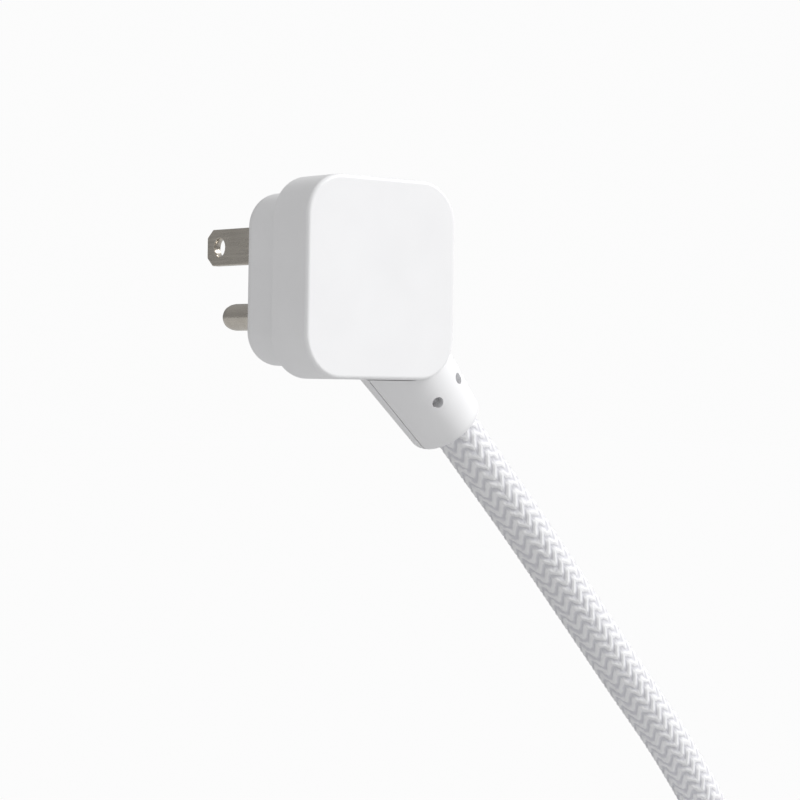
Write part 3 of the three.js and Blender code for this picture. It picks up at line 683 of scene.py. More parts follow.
def cordMesh(route):
    sides = cord["sides"]
    count = len(route)
    rows = np.concatenate([[0], np.cumsum(stepLengths(route))]) / cord["rowPitch"]
    faces = []
    for i in range(count - 1):
        low, high = i * sides, (i + 1) * sides
        for j in range(sides):
            k = (j + 1) % sides
            faces.append((low + j, low + k, high + k, high + j))
    faces.append(tuple(reversed(range(sides))))
    faces.append(tuple(range((count - 1) * sides, count * sides)))
    mesh = bpy.data.meshes.new("braidedCord")
    mesh.from_pydata(cordPoints(route, rows).reshape(-1, 3).tolist(), [], faces)
    addBraidMap(mesh, rows)
    return tidied(mesh)


def wave(tree, turns):
    # from 0 up to 1 and back for each whole turn
    swing = maths(tree, "COSINE", maths(tree, "MULTIPLY", turns, 2 * pi))
    return maths(tree, "MULTIPLY_ADD", swing, -0.5, 0.5)


def farFromHalf(tree, value):
    return maths(tree, "ABSOLUTE", maths(tree, "SUBTRACT", value, 0.5))


def makeBraidPattern():
    # zigzag rows of white yarn, each row a few parallel yarns; its ridge also sets the painted shade
    # between the rows
    takes = {"Map": None, "Tooth Height": cord["zigzag"], "Yarns": 3.0}
    group, take, give = newGroup("braidPattern", takes, ["Ridge", "Height", "Fibre"])
    parts = addNode(group, "ShaderNodeSeparateXYZ", {"Vector": take["Map"]})
    sway = remap(group, noise(group, take["Map"], 1.4), 0.0, 1.0, -0.2, 0.2)
    across = maths(group, "FRACT", maths(group, "ADD", parts.outputs["X"], sway))
    tooth = maths(group, "MULTIPLY", farFromHalf(group, across), 2.0)
    softTooth = remap(group, tooth, 0.0, 1.0, 0.0, 1.0, True)
    lifted = maths(group, "MULTIPLY", softTooth, take["Tooth Height"])
    row = maths(group, "ADD", maths(group, "ADD", parts.outputs["Y"], lifted), sway)
    ridge = wave(group, row)
    # the yarns of a row, and the dip where they pass under at each turn of the zigzag
    yarn = wave(group, maths(group, "MULTIPLY", row, take["Yarns"]))
    dip = remap(group, farFromHalf(group, tooth), 0.36, 0.5, 0.0, 1.0, True)
    fibres = noise(group, take["Map"], 26.0, 3.0, 0.7)
    height = maths(group, "ADD", ridge, maths(group, "MULTIPLY", yarn, 0.22))
    height = maths(group, "SUBTRACT", height, maths(group, "MULTIPLY", dip, 0.25))
    height = maths(group, "ADD", height, maths(group, "MULTIPLY", fibres, 0.25))
    setOrLink(group, give["Ridge"], ridge)
    setOrLink(group, give["Height"], height)
    setOrLink(group, give["Fibre"], fibres)
    return group


def braidMaterial():
    white = (0.87, 0.87, 0.882)
    # painted shade: the colour given to the creases between the yarn rows
    valleyShade = (0.655, 0.655, 0.69)
    fuzz = (0.78, 0.78, 0.83)
    made, tree, shader = newMaterial("braidedYarn", white, 0.8)
    chart = addNode(tree, "ShaderNodeUVMap", uv_map="braidMap").outputs["UV"]
    pattern = useGroup(tree, makeBraidPattern(), {"Map": chart})
    # the colour darkens from each ridge down into the crease beside it, as painted shade
    band = remap(tree, pattern["Ridge"], 0.0, 0.8, 0.0, 1.0, True)
    tone = blendColours(tree, band, valleyShade, white)
    worn = remap(tree, pattern["Fibre"], 0.35, 0.7, 0.0, 0.12)
    tree.links.new(blendColours(tree, worn, tone, fuzz), shader.inputs["Base Color"])
    shader.inputs["Sheen Weight"].default_value = 0.25
    shader.inputs["Sheen Roughness"].default_value = 0.5
    shader.inputs["Specular IOR Level"].default_value = 0.25
    addBump(tree, shader, pattern["Height"], 0.16 * mm, 0.6)
    return made


def makeCord(route):
    mesh = cordMesh(route)
    piece = newPiece(
        "braidedCord", mesh, braidMaterial(), "braid", "cord_lead", "cord_coil", "cord_tail",
        sharpAngle=80,
    )
    piece.modifiers.clear()
    print("cord length", round(float(stepLengths(route).sum()), 4), "faces", len(mesh.polygons))
    return piece


cordPath = cordRoute()
cordPiece = makeCord(cordPath)


# finishes

def wovenStrap():
    colour = (0.62, 0.62, 0.64)
    made, tree, shader = newMaterial("wovenStrap", colour, 0.85)
    place = objectPlace(tree)
    ribs = addNode(tree, "ShaderNodeTexWave", bands_direction="Z", inputs={
        "Vector": place, "Scale": 420.0, "Distortion": 0.6, "Detail": 1.0, "Detail Scale": 4.0,
    })
    threads = maths(tree, "MULTIPLY", noise(tree, place, 2600.0, 3.0, 0.7), 0.6)
    height = maths(tree, "ADD", ribs.outputs["Fac"], threads)
    # painted shade: where the weave is low, between the ribs, the strap is coloured darker
    raised = remap(tree, height, 0.3, 1.2, 0.0, 1.0)
    tone = blendColours(tree, raised, shaded(colour, 0.72), colour)
    tree.links.new(tone, shader.inputs["Base Color"])
    shader.inputs["Sheen Weight"].default_value = 0.3
    addBump(tree, shader, height, 0.12 * mm, 0.8)
    return made


def stitchThread():
    made, tree, shader = newMaterial("stitchThread", (0.8, 0.8, 0.83), 0.7)
    twist = noise(tree, objectPlace(tree), 6000.0)
    tone = blendColours(tree, twist, (0.7, 0.7, 0.74), (0.86, 0.86, 0.88))
    tree.links.new(tone, shader.inputs["Base Color"])
    addBump(tree, shader, twist, 0.03 * mm)
    return made


def solderMask():
    # green lacquer over faint tracks
    colour = (0.02, 0.14, 0.06)
    made, tree, shader = newMaterial("solderMask", colour, 0.35)
    tracks = addNode(tree, "ShaderNodeTexVoronoi", distance="MANHATTAN", feature="F1", inputs={
        "Vector": objectPlace(tree), "Scale": 420.0,
    })
    raised = remap(tree, tracks.outputs["Distance"], 0.42, 0.5, 0.0, 1.0, True)
    tone = blendColours(tree, raised, colour, (0.03, 0.22, 0.09))
    tree.links.new(tone, shader.inputs["Base Color"])
    shader.inputs["Coat Weight"].default_value = 0.3
    addBump(tree, shader, raised, 0.03 * mm)
    return made


def clearGuide():
    made, tree, shader = newMaterial("clearGuide", (0.9, 0.93, 0.95), 0.18)
    frost = noise(tree, objectPlace(tree), 4000.0)
    tree.links.new(remap(tree, frost, 0.3, 0.7, 0.12, 0.3), shader.inputs["Roughness"])
    shader.inputs["Transmission Weight"].default_value = 0.6
    shader.inputs["IOR"].default_value = 1.49
    addBump(tree, shader, frost, 0.004 * mm)
    return made


whiteShell = mouldedPlastic("whiteShell", (0.86, 0.86, 0.87), 0.42)
greyRelief = mouldedPlastic("greyRelief", (0.86, 0.86, 0.87), 0.5, depth=0.006)
buttonPlastic = mouldedPlastic("buttonPlastic", (0.80, 0.80, 0.81), 0.36, depth=0.003)
darkInsulator = mouldedPlastic("darkInsulator", (0.03, 0.03, 0.032), 0.55)
relayCase = mouldedPlastic("relayCase", (0.015, 0.017, 0.02), 0.35)
capacitorSleeve = mouldedPlastic("capacitorSleeve", (0.012, 0.02, 0.05), 0.3, grain=900.0)
varistorCoat = mouldedPlastic("varistorCoat", (0.02, 0.09, 0.3), 0.35, grain=1500.0, depth=0.02)
fuseGlaze = mouldedPlastic("fuseGlaze", (0.55, 0.44, 0.25), 0.25, grain=1200.0)
ferriteBody = mouldedPlastic("ferriteBody", (0.035, 0.035, 0.037), 0.75, grain=2500.0, depth=0.02)
ledBody = mouldedPlastic("ledBody", (0.87, 0.84, 0.74), 0.3)
wireBlack = mouldedPlastic("wireBlack", (0.01, 0.01, 0.011), 0.4)
wireWhite = mouldedPlastic("wireWhite", (0.78, 0.78, 0.75), 0.4)
wireGreen = mouldedPlastic("wireGreen", (0.02, 0.2, 0.045), 0.4)
nickelPlate = platedMetal("nickelPlate", (0.62, 0.58, 0.52), 0.24)
springBrass = platedMetal("springBrass", (0.68, 0.46, 0.17), 0.3)
zincPlate = platedMetal("zincPlate", (0.56, 0.57, 0.6), 0.32)
shieldTin = platedMetal("shieldTin", (0.6, 0.61, 0.63), 0.34)
print("finishes ready")


# head

head = {
    "corner": 0.0072,
    "edge": 0.0007,
    "rearEdge": 0.0003,
    "wall": 0.0016,
    "frontWall": 0.0018,
    "sideStep": 0.0036,  # the rear body stands in this far from the cap at the sides
    "topStep": 0.0021,  # and at the top and bottom
    "bodyCorner": 0.0056,
    "cornerShare": 0.7,  # how much a corner's radius follows its outline's steps
    "backStep": 0.002,  # the round that leads to the mating face
    "backEdge": 0.003,
    "cove": 0.004,
    "backWall": 0.0016,
    "backFloor": 0.0022,
    "cornerSteps": 16,
    "lip": 0.001,
    "lipHeight": 0.002,
    "lipRoot": 0.0006,  # how far the lip reaches down into the body
    "coveShort": 0.03 * mm,  # how far short of the cap the cove ends
    "slotMiddle": 0.004,  # where the pins pass through the back wall
    "slotLength": 0.012,
}

capLow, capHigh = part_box("front_cover")
capWidth = capHigh.x - capLow.x
capHeight = capHigh.z - capLow.z
headDepth = -capLow.y
seamDepth = -capHigh.y - gap


def capLevel(depth, step, grow=0.0):
    return (
        capWidth - 2 * step + 2 * grow, capHeight - 2 * step + 2 * grow,
        head["corner"] - step + grow, depth,
    )


def bodyLevel(depth, sideInset, topInset, grow=0.0):
    # an outline of the rear body, inset from its waist
    share = (sideInset + topInset) / 2
    return (
        capWidth - 2 * (head["sideStep"] + sideInset - grow),
        capHeight - 2 * (head["topStep"] + topInset - grow),
        head["bodyCorner"] - head["cornerShare"] * share + grow, depth,
    )


def capLevels(grow=0.0):
    rear, edge = head["rearEdge"], head["edge"]
    levels = []
    for turn in quarterTurns(4):
        depth = seamDepth + gap + rear * (1 - cos(turn)) - grow
        levels.append(capLevel(depth, rear * (1 - sin(turn)), grow))
    for turn in quarterTurns(8):
        depth = headDepth - edge * (1 - sin(turn)) + grow
        levels.append(capLevel(depth, edge * (1 - cos(turn)), grow))
    return levels


def bodyLevels(grow=0.0):
    levels = []
    for turn in quarterTurns(10):
        inset = head["backStep"] * (1 - sin(turn))
        levels.append(bodyLevel(head["backEdge"] * (1 - cos(turn)), inset, inset, grow))
    cove = head["cove"]
    for turn in quarterTurns(14):
        share = 1 - cos(turn)
        side = -(head["sideStep"] - gap) * share
        top = -(head["topStep"] - gap) * share
        levels.append(bodyLevel(seamDepth - cove + cove * sin(turn), side, top, grow))
    # the cove runs on under the cap's rear edge, so that no line of light shows between them
    levels.append((*levels[-1][:3], seamDepth + gap - head["coveShort"] + grow))
    if grow > 0:
        levels.insert(0, (*levels[0][:3], -grow))
    return levels


def capInner(shrink, start, end):
    wall = head["wall"]
    width = capWidth - 2 * wall - 2 * shrink
    height = capHeight - 2 * wall - 2 * shrink
    corner = head["corner"] - wall - shrink
    return softStack([(width, height, corner, start), (width, height, corner, end)], 8, onWall)


relief = {
    "angle": 47.5,  # degrees below the horizontal
    "depth": 0.0134,
    "radius": 0.00736,
    "radiusAt": 0.023,
    "taper": 0.082,
    "start": 0.0125,
    "end": 0.0336,
    "endRadius": 0.0019,
    "neckRadius": 0.0041,
    "neckStart": 0.0092,
    "cordOffset": 0.0011,
    "boreStart": 0.0242,
    "boreEnd": 0.04,
    "bedGap": 0.1 * mm,  # what the relief keeps from the head round it
    "pinHoleRadius": 0.0010,
    "pinHoleDepth": 0.0026,
    "pinHoleReach": 0.012,
    "pinHoleAt": 0.0248,
    "pinHoleAngle": 25.4,
    "sides": 120,
}


def reliefPlace():
    slope = radians(relief["angle"])
    above = Vector((sin(slope), 0, cos(slope)))
    front = Vector((0, -1, 0))
    along = Vector((cos(slope), 0, -sin(slope)))
    turn = Matrix((above, front, along)).transposed().to_4x4()
    return Matrix.Translation((0, -relief["depth"], 0)) @ turn


onRelief = reliefPlace()


def neckCutter():
    start = relief["neckStart"] - gap
    return rodMesh((0, 0), relief["neckRadius"] + gap, start, relief["radiusAt"], place=onRelief)


button = {
    "width": 0.009,
    "depth": 0.0038,
    "edge": 0.00035,
    "crown": 0.00006,
    "crownLevels": [(0.0009, 0.35), (0.0016, 0)],  # how far in, and the share of the crown left
    "flange": 0.0008,
    "flangeThickness": 0.0006,
    "openingStart": 0.0130,
    "openingEnd": 0.0180,
}

lightPipe = {
    "edge": 0.00015,
    "clearance": 0.1 * mm,
}

buttonLow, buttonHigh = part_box("push_button")
buttonPlace = Matrix.Translation((0, middleOf(buttonLow, buttonHigh)[1], 0))
pipeLow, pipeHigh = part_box("light_pipe")
pipePlace = Matrix.Translation((*middleOf(pipeLow, pipeHigh)[:2], 0))
pipeRadius = (pipeHigh.x - pipeLow.x) / 2


def buttonLevel(grow, height):
    depth = button["depth"] + 2 * grow
    return (button["width"] + 2 * grow, depth, depth / 2 - sharp, height)


def buttonCutter():
    levels = [buttonLevel(gap, button[end]) for end in ("openingStart", "openingEnd")]
    return softStack(levels, 12, buttonPlace)


def pipeCutter():
    radius = pipeRadius + lightPipe["clearance"]
    return rodMesh((0, 0), radius, button["openingStart"], button["openingEnd"], 32, pipePlace)


def makeFrontCover():
    mesh = carved(softStack(capLevels(), head["cornerSteps"], onWall), [
        capInner(0, past, headDepth - head["frontWall"]), neckCutter(), buttonCutter(), pipeCutter(),
    ])
    return newPiece("frontCover", mesh, whiteShell, "white_shell", "front_cover")


def bladeCutter(node):
    low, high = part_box(node)
    x, _, z = middleOf(low, high)
    size = (high.x - low.x + 2 * gap, high.z - low.z + 2 * gap, head["slotLength"])
    return boxMesh((x, z, head["slotMiddle"]), size)


def groundCutter():
    low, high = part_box("ground_pin")
    x, _, z = middleOf(low, high)
    start = head["slotMiddle"] - head["slotLength"] / 2
    return rodMesh((x, z), (high.x - low.x) / 2 + gap, start, start + head["slotLength"])


def makeRearHousing():
    lipStart = seamDepth - head["lipRoot"]
    shell = softStack(bodyLevels(), head["cornerSteps"], onWall)
    shell = carved(shell, [capInner(gap, lipStart, seamDepth + head["lipHeight"])], "UNION")
    wall = head["backWall"]
    inner = (*bodyLevel(0, wall, wall)[:2], head["bodyCorner"] - wall)
    cavity = softStack([(*inner, head["backFloor"]), (*inner, headDepth)], 8, onWall)
    mesh = carved(shell, [
        cavity, capInner(gap + head["lip"], lipStart, headDepth), neckCutter(),
        bladeCutter("blade_neutral"), bladeCutter("blade_line"), groundCutter(),
    ])
    return newPiece("rearHousing", mesh, whiteShell, "white_shell", "rear_housing")


makeFrontCover()
makeRearHousing()
print("shells ready")


# pins

pins = {
    "holeRadius": 0.0016,
    "holeFromTip": 0.0036,
    "tipLength": 0.0016,
    "tipInset": 0.0014,
    "edge": 0.00018,
    "root": 0.0045,
    "rootEdge": 0.0001,
    # the ground pin's round tip: shares of its radius, and how far each is from the end
    "roundTip": [(0.02, 0), (0.45, 0.0002), (0.7, 0.0006), (0.87, 0.0012), (0.96, 0.0019), (1, 0.0027)],
}


def makeBlade(name, node):
    low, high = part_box(node)
    x, _, z = middleOf(low, high)
    half = (high.z - low.z) / 2
    tip, inset, root = high.y, pins["tipInset"], -pins["root"]
    shoulder = tip - pins["tipLength"]
    outline = [
        (-half, root), (half, root), (half, shoulder),
        (half - inset, tip), (-half + inset, tip), (-half, shoulder),
    ]
    rings = [[Vector((side, along, z + up)) for up, along in outline] for side in (low.x, high.x)]
    through = Matrix.Translation((x, tip - pins["holeFromTip"], z)) @ Matrix.Rotation(pi / 2, 4, "Y")
    thick = high.x - low.x
    hole = rodMesh((0, 0), pins["holeRadius"], -thick, thick, place=through)
    mesh = softened(carved(ringsToMesh(rings), [hole]), pins["edge"])
    return newPiece(name, mesh, nickelPlate, "nickel", node)


def makeGroundPin():
    low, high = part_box("ground_pin")
    x, _, z = middleOf(low, high)
    radius = (high.x - low.x) / 2
    length = high.y + pins["root"]
    profile = [(radius * share, along) for share, along in pins["roundTip"]]
    profile += [(radius, length - pins["rootEdge"]), (radius * 0.9, length)]
    place = Matrix.Translation((x, high.y, z)) @ Matrix.Rotation(pi / 2, 4, "X")
    return newPiece("groundPin", turnedRings(profile, 64, place), nickelPlate, "nickel", "ground_pin")


makeBlade("bladeNeutral", "blade_neutral")
makeBlade("bladeLine", "blade_line")
makeGroundPin()
print("pins ready")


# button and indicator

def makeButton():
    base, edge, flange = buttonLow.z, button["edge"], button["flange"]
    flangeTop = base + button["flangeThickness"]
    rim = buttonHigh.z - button["crown"]
    levels = [
        buttonLevel(flange, base), buttonLevel(flange, flangeTop),
        buttonLevel(0, flangeTop), buttonLevel(0, rim - edge),
    ]
    for turn in quarterTurns(6, 1):
        levels.append(buttonLevel(-edge * (1 - cos(turn)), rim - edge * (1 - sin(turn))))
    for inwards, share in button["crownLevels"]:
        levels.append(buttonLevel(-inwards, buttonHigh.z - button["crown"] * share))
    mesh = softStack(levels, 14, buttonPlace)
    return newPiece("pushButton", mesh, buttonPlastic, "button_plastic", "push_button", body="button")


def makeLightPipe():
    top, edge = pipeHigh.z, lightPipe["edge"]
    profile = [
        (pipeRadius, pipeLow.z), (pipeRadius, top - edge), (pipeRadius - 0.3 * edge, top - 0.3 * edge),
        (pipeRadius - edge, top), (pipeRadius * 0.1, top),
    ]
    mesh = turnedRings(profile, 40, pipePlace)
    return newPiece("lightPipe", mesh, clearGuide(), "clear_guide", "light_pipe")


makeButton()
makeLightPipe()
print("button and indicator ready")


# strain relief

def reliefProfile():
    def radiusAt(along):
        return relief["radius"] - relief["taper"] * (along - relief["radiusAt"])

    start, edge = relief["start"], relief["endRadius"]
    shoulder = relief["end"] - edge
    profile = []
    for i in range(9):
        along = start + (shoulder - start) * i / 8
        profile.append((radiusAt(along), along))
    for turn in quarterTurns(10, 1):
        profile.append((radiusAt(shoulder) - edge * (1 - cos(turn)), shoulder + edge * sin(turn)))
    return profile


def pinHoleCutter(side):
    deep = relief["radius"] - relief["pinHoleDepth"]
    turn = Matrix.Rotation(radians(-side * relief["pinHoleAngle"]), 4, "Z")
    aim = Matrix.Rotation(-pi / 2, 4, "X")
    place = onRelief @ Matrix.Translation((0, 0, relief["pinHoleAt"])) @ turn @ aim
    return rodMesh((0, 0), relief["pinHoleRadius"], deep, relief["pinHoleReach"], 40, place)


def cordCutter():
    radius = cord["diameter"] / 2 + cord["boreGap"]
    centre = (relief["cordOffset"], 0)
    return rodMesh(centre, radius, relief["boreStart"], relief["boreEnd"], 64, onRelief)


def halfSpace(side):
    # everything on one side of the parting line, round the middle of the relief
    reach, middle = 0.05, 0.02
    return boxMesh((0, side * (reach + gap / 2), middle), [2 * reach] * 3, onRelief)


def reliefHalf(name, node, side):
    body = turnedRings(reliefProfile(), relief["sides"], onRelief)
    mesh = carved(body, [
        softStack(bodyLevels(relief["bedGap"]), head["cornerSteps"], onWall),
        softStack(capLevels(relief["bedGap"]), head["cornerSteps"], onWall),
        capInner(0, seamDepth - past, seamDepth + past),
        cordCutter(), pinHoleCutter(-1), pinHoleCutter(1),
    ])
    mesh = carved(mesh, [halfSpace(side)], "INTERSECT")
    return newPiece(name, mesh, greyRelief, "grey_relief", node)


reliefHalf("reliefFront", "strain_relief_front", 1)
reliefHalf("reliefRear", "strain_relief_rear", -1)
print("strain relief ready")


# tie round the coil

tie = {
    "angle": 0.0,
    "inner": 0.0006,
    "band": 0.0006,
    "flap": 0.00045,
    "edge": 0.00012,
    "width": 0.0118,
    "flapWidth": 0.0112,
    "flapEnd": 0.0095,
    "flapGap": 0.02 * mm,
    "stitchGap": 0.0013,
    "stitchLength": 0.00095,
    "stitchThickness": 0.00018,
    "stitchInset": 0.0011,  # from the flap's edge
    "stitchLift": 0.00004,
    "stitchStart": -0.006,
    "stitchStep": 0.0005,  # between the points of a line of stitches
    "stitchSteps": 24,
}


def coilOutline(grow):
    diameter = cord["diameter"]
    return softOutline(3 * diameter + 2 * grow, 2 * diameter + 2 * grow, diameter / 2 + grow, 12)


def tiePlace():
    # outline x goes outwards from the coil, outline y towards the room, z along the cord
    turn = radians(tie["angle"])
    outwards = Vector((cos(turn), 0, sin(turn)))
    around = Vector((-sin(turn), 0, cos(turn)))
    x, depth, z = coil["centre"]
    radius = coil["middleRadius"]
    place = Matrix((outwards, Vector((0, -1, 0)), around)).transposed().to_4x4()
    return Matrix.Translation((x + radius * cos(turn), -depth, z + radius * sin(turn))) @ place


def bandMesh(inner, outer, width, closed, place):
    # a strap of one thickness along matching outlines, its outer edges taken off
    half = width / 2
    edge = min(tie["edge"], (Vector(outer[0]) - Vector(inner[0])).length * 0.4)
    side = 0.75  # the share of the thickness below the edge
    section = [(0, -half), (0, half), (side, half), (1, half - edge), (1, -half + edge), (side, -half)]
    rings = []
    for (innerX, innerY), (outerX, outerY) in zip(inner, outer):
        stepX, stepY = outerX - innerX, outerY - innerY
        rings.append([
            place @ Vector((innerX + stepX * share, innerY + stepY * share, along))
            for share, along in section
        ])
    return ringsToMesh(rings, closed)


stitchSizes = {
    "Spacing": tie["stitchGap"],
    "Length": tie["stitchLength"],
    "Thickness": tie["stitchThickness"],
}


def makeStitchTree(thread):
    tree = bpy.data.node_groups.new("stitchRow", "GeometryNodeTree")
    face = tree.interface
    face.new_socket(name="Geometry", in_out="INPUT", socket_type="NodeSocketGeometry")
    for label, start in stitchSizes.items():
        made = face.new_socket(name=label, in_out="INPUT", socket_type="NodeSocketFloat")
        made.default_value = start
    face.new_socket(name="Geometry", in_out="OUTPUT", socket_type="NodeSocketGeometry")
    take = tree.nodes.new("NodeGroupInput").outputs
    leave = tree.nodes.new("NodeGroupOutput").inputs
    path = addNode(tree, "GeometryNodeMeshToCurve", {"Mesh": take["Geometry"]})
    spaced = addNode(tree, "GeometryNodeResampleCurve", mode="LENGTH", inputs={
        "Curve": path.outputs[0], "Length": take["Spacing"],
    })
    bead = addNode(tree, "GeometryNodeMeshIcoSphere", {"Radius": 0.5, "Subdivisions": 2})
    size = addNode(tree, "ShaderNodeCombineXYZ", {
        "X": take["Thickness"], "Y": take["Thickness"], "Z": take["Length"],
    })
    shaped = addNode(tree, "GeometryNodeTransform", {
        "Geometry": bead.outputs["Mesh"], "Scale": size.outputs[0],
    })
    tangent = addNode(tree, "GeometryNodeInputTangent")
    turned = addNode(tree, "FunctionNodeAlignRotationToVector", axis="Z", inputs={
        "Vector": tangent.outputs[0],
    })
    placed = addNode(tree, "GeometryNodeInstanceOnPoints", {
        "Points": spaced.outputs[0], "Instance": shaped.outputs[0], "Rotation": turned.outputs[0],
    })
    real = addNode(tree, "GeometryNodeRealizeInstances", {"Geometry": placed.outputs[0]})
    painted = addNode(tree, "GeometryNodeSetMaterial", {
        "Geometry": real.outputs[0], "Material": thread,
    })
    tree.links.new(painted.outputs[0], leave["Geometry"])
    return tree


def stitchRow(name, points, thread):
    mesh = bpy.data.meshes.new(name)
    mesh.from_pydata(points, [(i, i + 1) for i in range(len(points) - 1)], [])
    made = addObject(name, mesh)
    step = made.modifiers.new("stitches", "NODES")
    step.node_group = makeStitchTree(thread)
    for item in step.node_group.interface.items_tree:
        if item.in_out == "INPUT" and item.name in stitchSizes:
            step[item.identifier] = stitchSizes[item.name]
    return newPiece(name, finishedMesh(made), thread, "strap")


def makeTie():
    place = tiePlace()
    inner, middle = tie["inner"], tie["inner"] + tie["band"]
    outer = middle + tie["flap"]
    strap = wovenStrap()
    band = bandMesh(coilOutline(inner), coilOutline(middle), tie["width"], True, place)
    piece = newPiece("coilTie", band, strap, "strap", "cord_tie")

    # the free end lies over the band on the side towards the room
    under = [(x, y) for x, y in coilOutline(middle + tie["flapGap"]) if y > 0 or x > 0]
    over = [(x, y) for x, y in coilOutline(outer) if y > 0 or x > 0]
    front = [i for i, (x, y) in enumerate(over) if x > -tie["flapEnd"] or y <= 0]
    flap = bandMesh([under[i] for i in front], [over[i] for i in front], tie["flapWidth"], False, place)
    flapPiece = newPiece("tieFlap", flap, strap, "strap")

    thread = stitchThread()
    rows = []
    top = cord["diameter"] + outer + tie["stitchLift"]
    half = tie["flapWidth"] / 2 - tie["stitchInset"]
    for number, side in enumerate((-1, 1)):
        places = [tie["stitchStart"] + tie["stitchStep"] * i for i in range(tie["stitchSteps"] + 1)]
        points = [tuple(place @ Vector((x, top, side * half))) for x in places]
        rows.append(stitchRow("tieStitches%d" % number, points, thread))
    return [piece, flapPiece, *rows]


tiePieces = makeTie()
print("tie ready")


# in-line socket

socket = {
    "width": 0.030,
    "corner": 0.008,
    "length": 0.034,
    "frontLength": 0.012,
    "edge": 0.0012,
    "seamEdge": 0.00025,
    "wall": 0.002,
    "face": 0.003,
    "top": (0.0885, -0.0394, -0.185),
    "panelWidth": 0.0225,
    "panelCorner": 0.0052,
    "recess": 0.0004,
    "slotWidth": 0.0022,
    "slotHeight": 0.0076,
    "slotLength": 0.012,
    "pinSpacing": 0.0127,
    "pinOffset": 0.00595,
    "groundRadius": 0.00262,
    "screwHead": 0.0021,
    "screwDepth": 0.0024,
    "reliefLength": 0.020,
    "reliefRadius": 0.0070,
    "reliefTip": 0.0056,
    "reliefEdge": 0.0009,
    "reliefBore": 0.0094,  # how far the cord goes into it
}

# drawn with its face looking along z, then hung with the face down
onSocket = Matrix.Translation(socket["top"]) @ Matrix(
    ((1, 0, 0, 0), (0, -1, 0, 0), (0, 0, -1, 0), (0, 0, 0, 1))
)


def socketLevel(along, step):
    width = socket["width"] - 2 * step
    return (width, width, socket["corner"] - step, along)


def roundedEnd(at, edge, direction, steps=8):
    # levels of a quarter-round edge that ends at a flat face; direction is 1 or -1
    levels = [
        socketLevel(at - direction * edge * (1 - sin(turn)), edge * (1 - cos(turn)))
        for turn in quarterTurns(steps)
    ]
    return levels[::direction]


def makeSocketRear():
    seam = socket["length"] - socket["frontLength"]
    levels = roundedEnd(0, socket["edge"], -1) + roundedEnd(seam, socket["seamEdge"], 1, 3)
    wall = socket["wall"]
    inner = [socketLevel(wall, wall), socketLevel(seam + past, wall)]
    mesh = carved(softStack(levels, head["cornerSteps"], onSocket), [
        softStack(inner, 8, onSocket),
        rodMesh((0, 0), relief["neckRadius"] + gap, -past, wall + past, place=onSocket),
    ])
    return newPiece("socketRear", mesh, whiteShell, "white_shell", "socket_rear")


def slotCutter(side):
    centre = (side * socket["pinSpacing"] / 2, socket["pinOffset"], socket["length"])
    return boxMesh(centre, (socket["slotWidth"], socket["slotHeight"], socket["slotLength"]), onSocket)


def makeSocketFace():
    seam = socket["length"] - socket["frontLength"] + gap
    end = socket["length"]
    levels = roundedEnd(seam, socket["seamEdge"], -1, 3) + roundedEnd(end, socket["edge"], 1)
    wall = socket["wall"]
    inner = [socketLevel(seam - past, wall), socketLevel(end - socket["face"], wall)]
    outline = (socket["panelWidth"], socket["panelWidth"], socket["panelCorner"])
    panel = [(*outline, end - socket["recess"]), (*outline, end + past)]
    ground = (0, -socket["pinOffset"])
    mesh = carved(softStack(levels, head["cornerSteps"], onSocket), [
        softStack(inner, 8, onSocket), softStack(panel, 10, onSocket),
        slotCutter(-1), slotCutter(1),
        rodMesh(ground, socket["groundRadius"], seam, end + past, place=onSocket),
        rodMesh((0, 0), socket["screwHead"], end - socket["screwDepth"], end + past, 40, onSocket),
    ])
    return newPiece("socketFace", mesh, whiteShell, "white_shell", "socket_face")


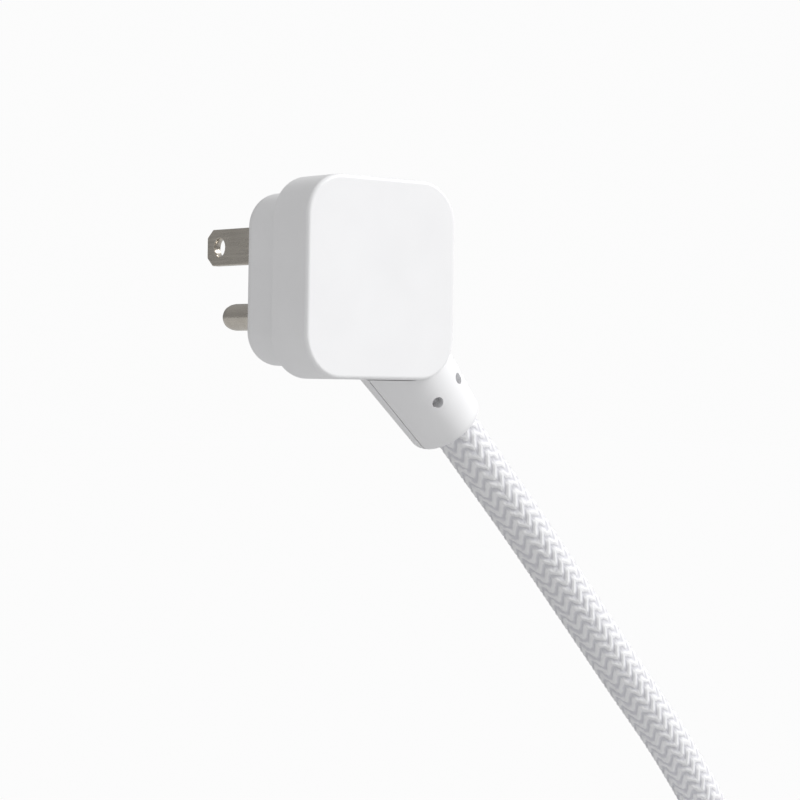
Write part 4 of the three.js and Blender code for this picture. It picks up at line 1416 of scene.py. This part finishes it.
def makeSocketRelief():
    tip, root, edge = socket["reliefTip"], socket["reliefRadius"], socket["reliefEdge"]
    neck = relief["neckRadius"]
    end = -socket["reliefLength"]
    bore = cord["diameter"] / 2 + cord["boreGap"]
    profile = [(bore, end + socket["reliefBore"]), (bore, end)]
    for turn in quarterTurns(6):
        profile.append((tip - edge * (1 - sin(turn)), end + edge * (1 - cos(turn))))
    profile += [(root, -2 * gap), (root - gap, -gap), (neck, -gap), (neck, socket["wall"] + gap)]
    mesh = turnedRings(profile, 96, onSocket)
    return newPiece("socketRelief", mesh, greyRelief, "grey_relief", "socket_relief")


socketScrew = {
    "edge": 0.00018,
    "headThickness": 0.0012,
    "shank": 0.0011,
    "crossLength": 0.0022,
    "crossWidth": 0.00055,
    "crossDepth": 0.0012,
}


def makeSocketScrew():
    low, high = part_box("socket_screw")
    radius = (high.x - low.x) / 2
    thickness, shank = socketScrew["headThickness"], socketScrew["shank"]
    long, thin, deep = (socketScrew["cross" + part] for part in ("Length", "Width", "Depth"))
    place = Matrix.Translation((*middleOf(low, high)[:2], low.z))
    profile = [(radius * 0.9, 0), (radius, socketScrew["edge"]), (radius, thickness)]
    profile += [(shank, thickness), (shank, high.z - low.z)]
    cross = [boxMesh((0, 0, 0), size, place) for size in [(long, thin, deep), (thin, long, deep)]]
    mesh = carved(turnedRings(profile, 48, place), cross)
    return newPiece("socketScrew", mesh, zincPlate, "zinc_steel", "socket_screw")


socketPieces = [makeSocketRear(), makeSocketFace(), makeSocketRelief(), makeSocketScrew()]
print("socket ready")


# pieces kept from the frame

keptFinishes = [
    (darkInsulator, "contact_carrier", "pin_header", "tact_switch", "contact_block"),
    (solderMask(), "main_board", "radio_board", "button_board"),
    (zincPlate, "board_screw_left", "board_screw_right"),
    (relayCase, "relay"),
    (capacitorSleeve, "capacitor"),
    (varistorCoat, "varistor"),
    (fuseGlaze, "fuse"),
    (ferriteBody, "power_inductor"),
    (shieldTin, "radio_shield"),
    (ledBody, "switch_plunger", "status_led"),
    (wireBlack, "wire_line"),
    (wireWhite, "wire_neutral"),
    (wireGreen, "wire_ground"),
    (springBrass, "socket_contact_neutral", "socket_contact_line", "socket_contact_ground"),
]

for finish, *nodeNames in keptFinishes:
    for nodeName in nodeNames:
        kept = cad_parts[nodeName]
        kept.data.materials.clear()
        kept.data.materials.append(finish)
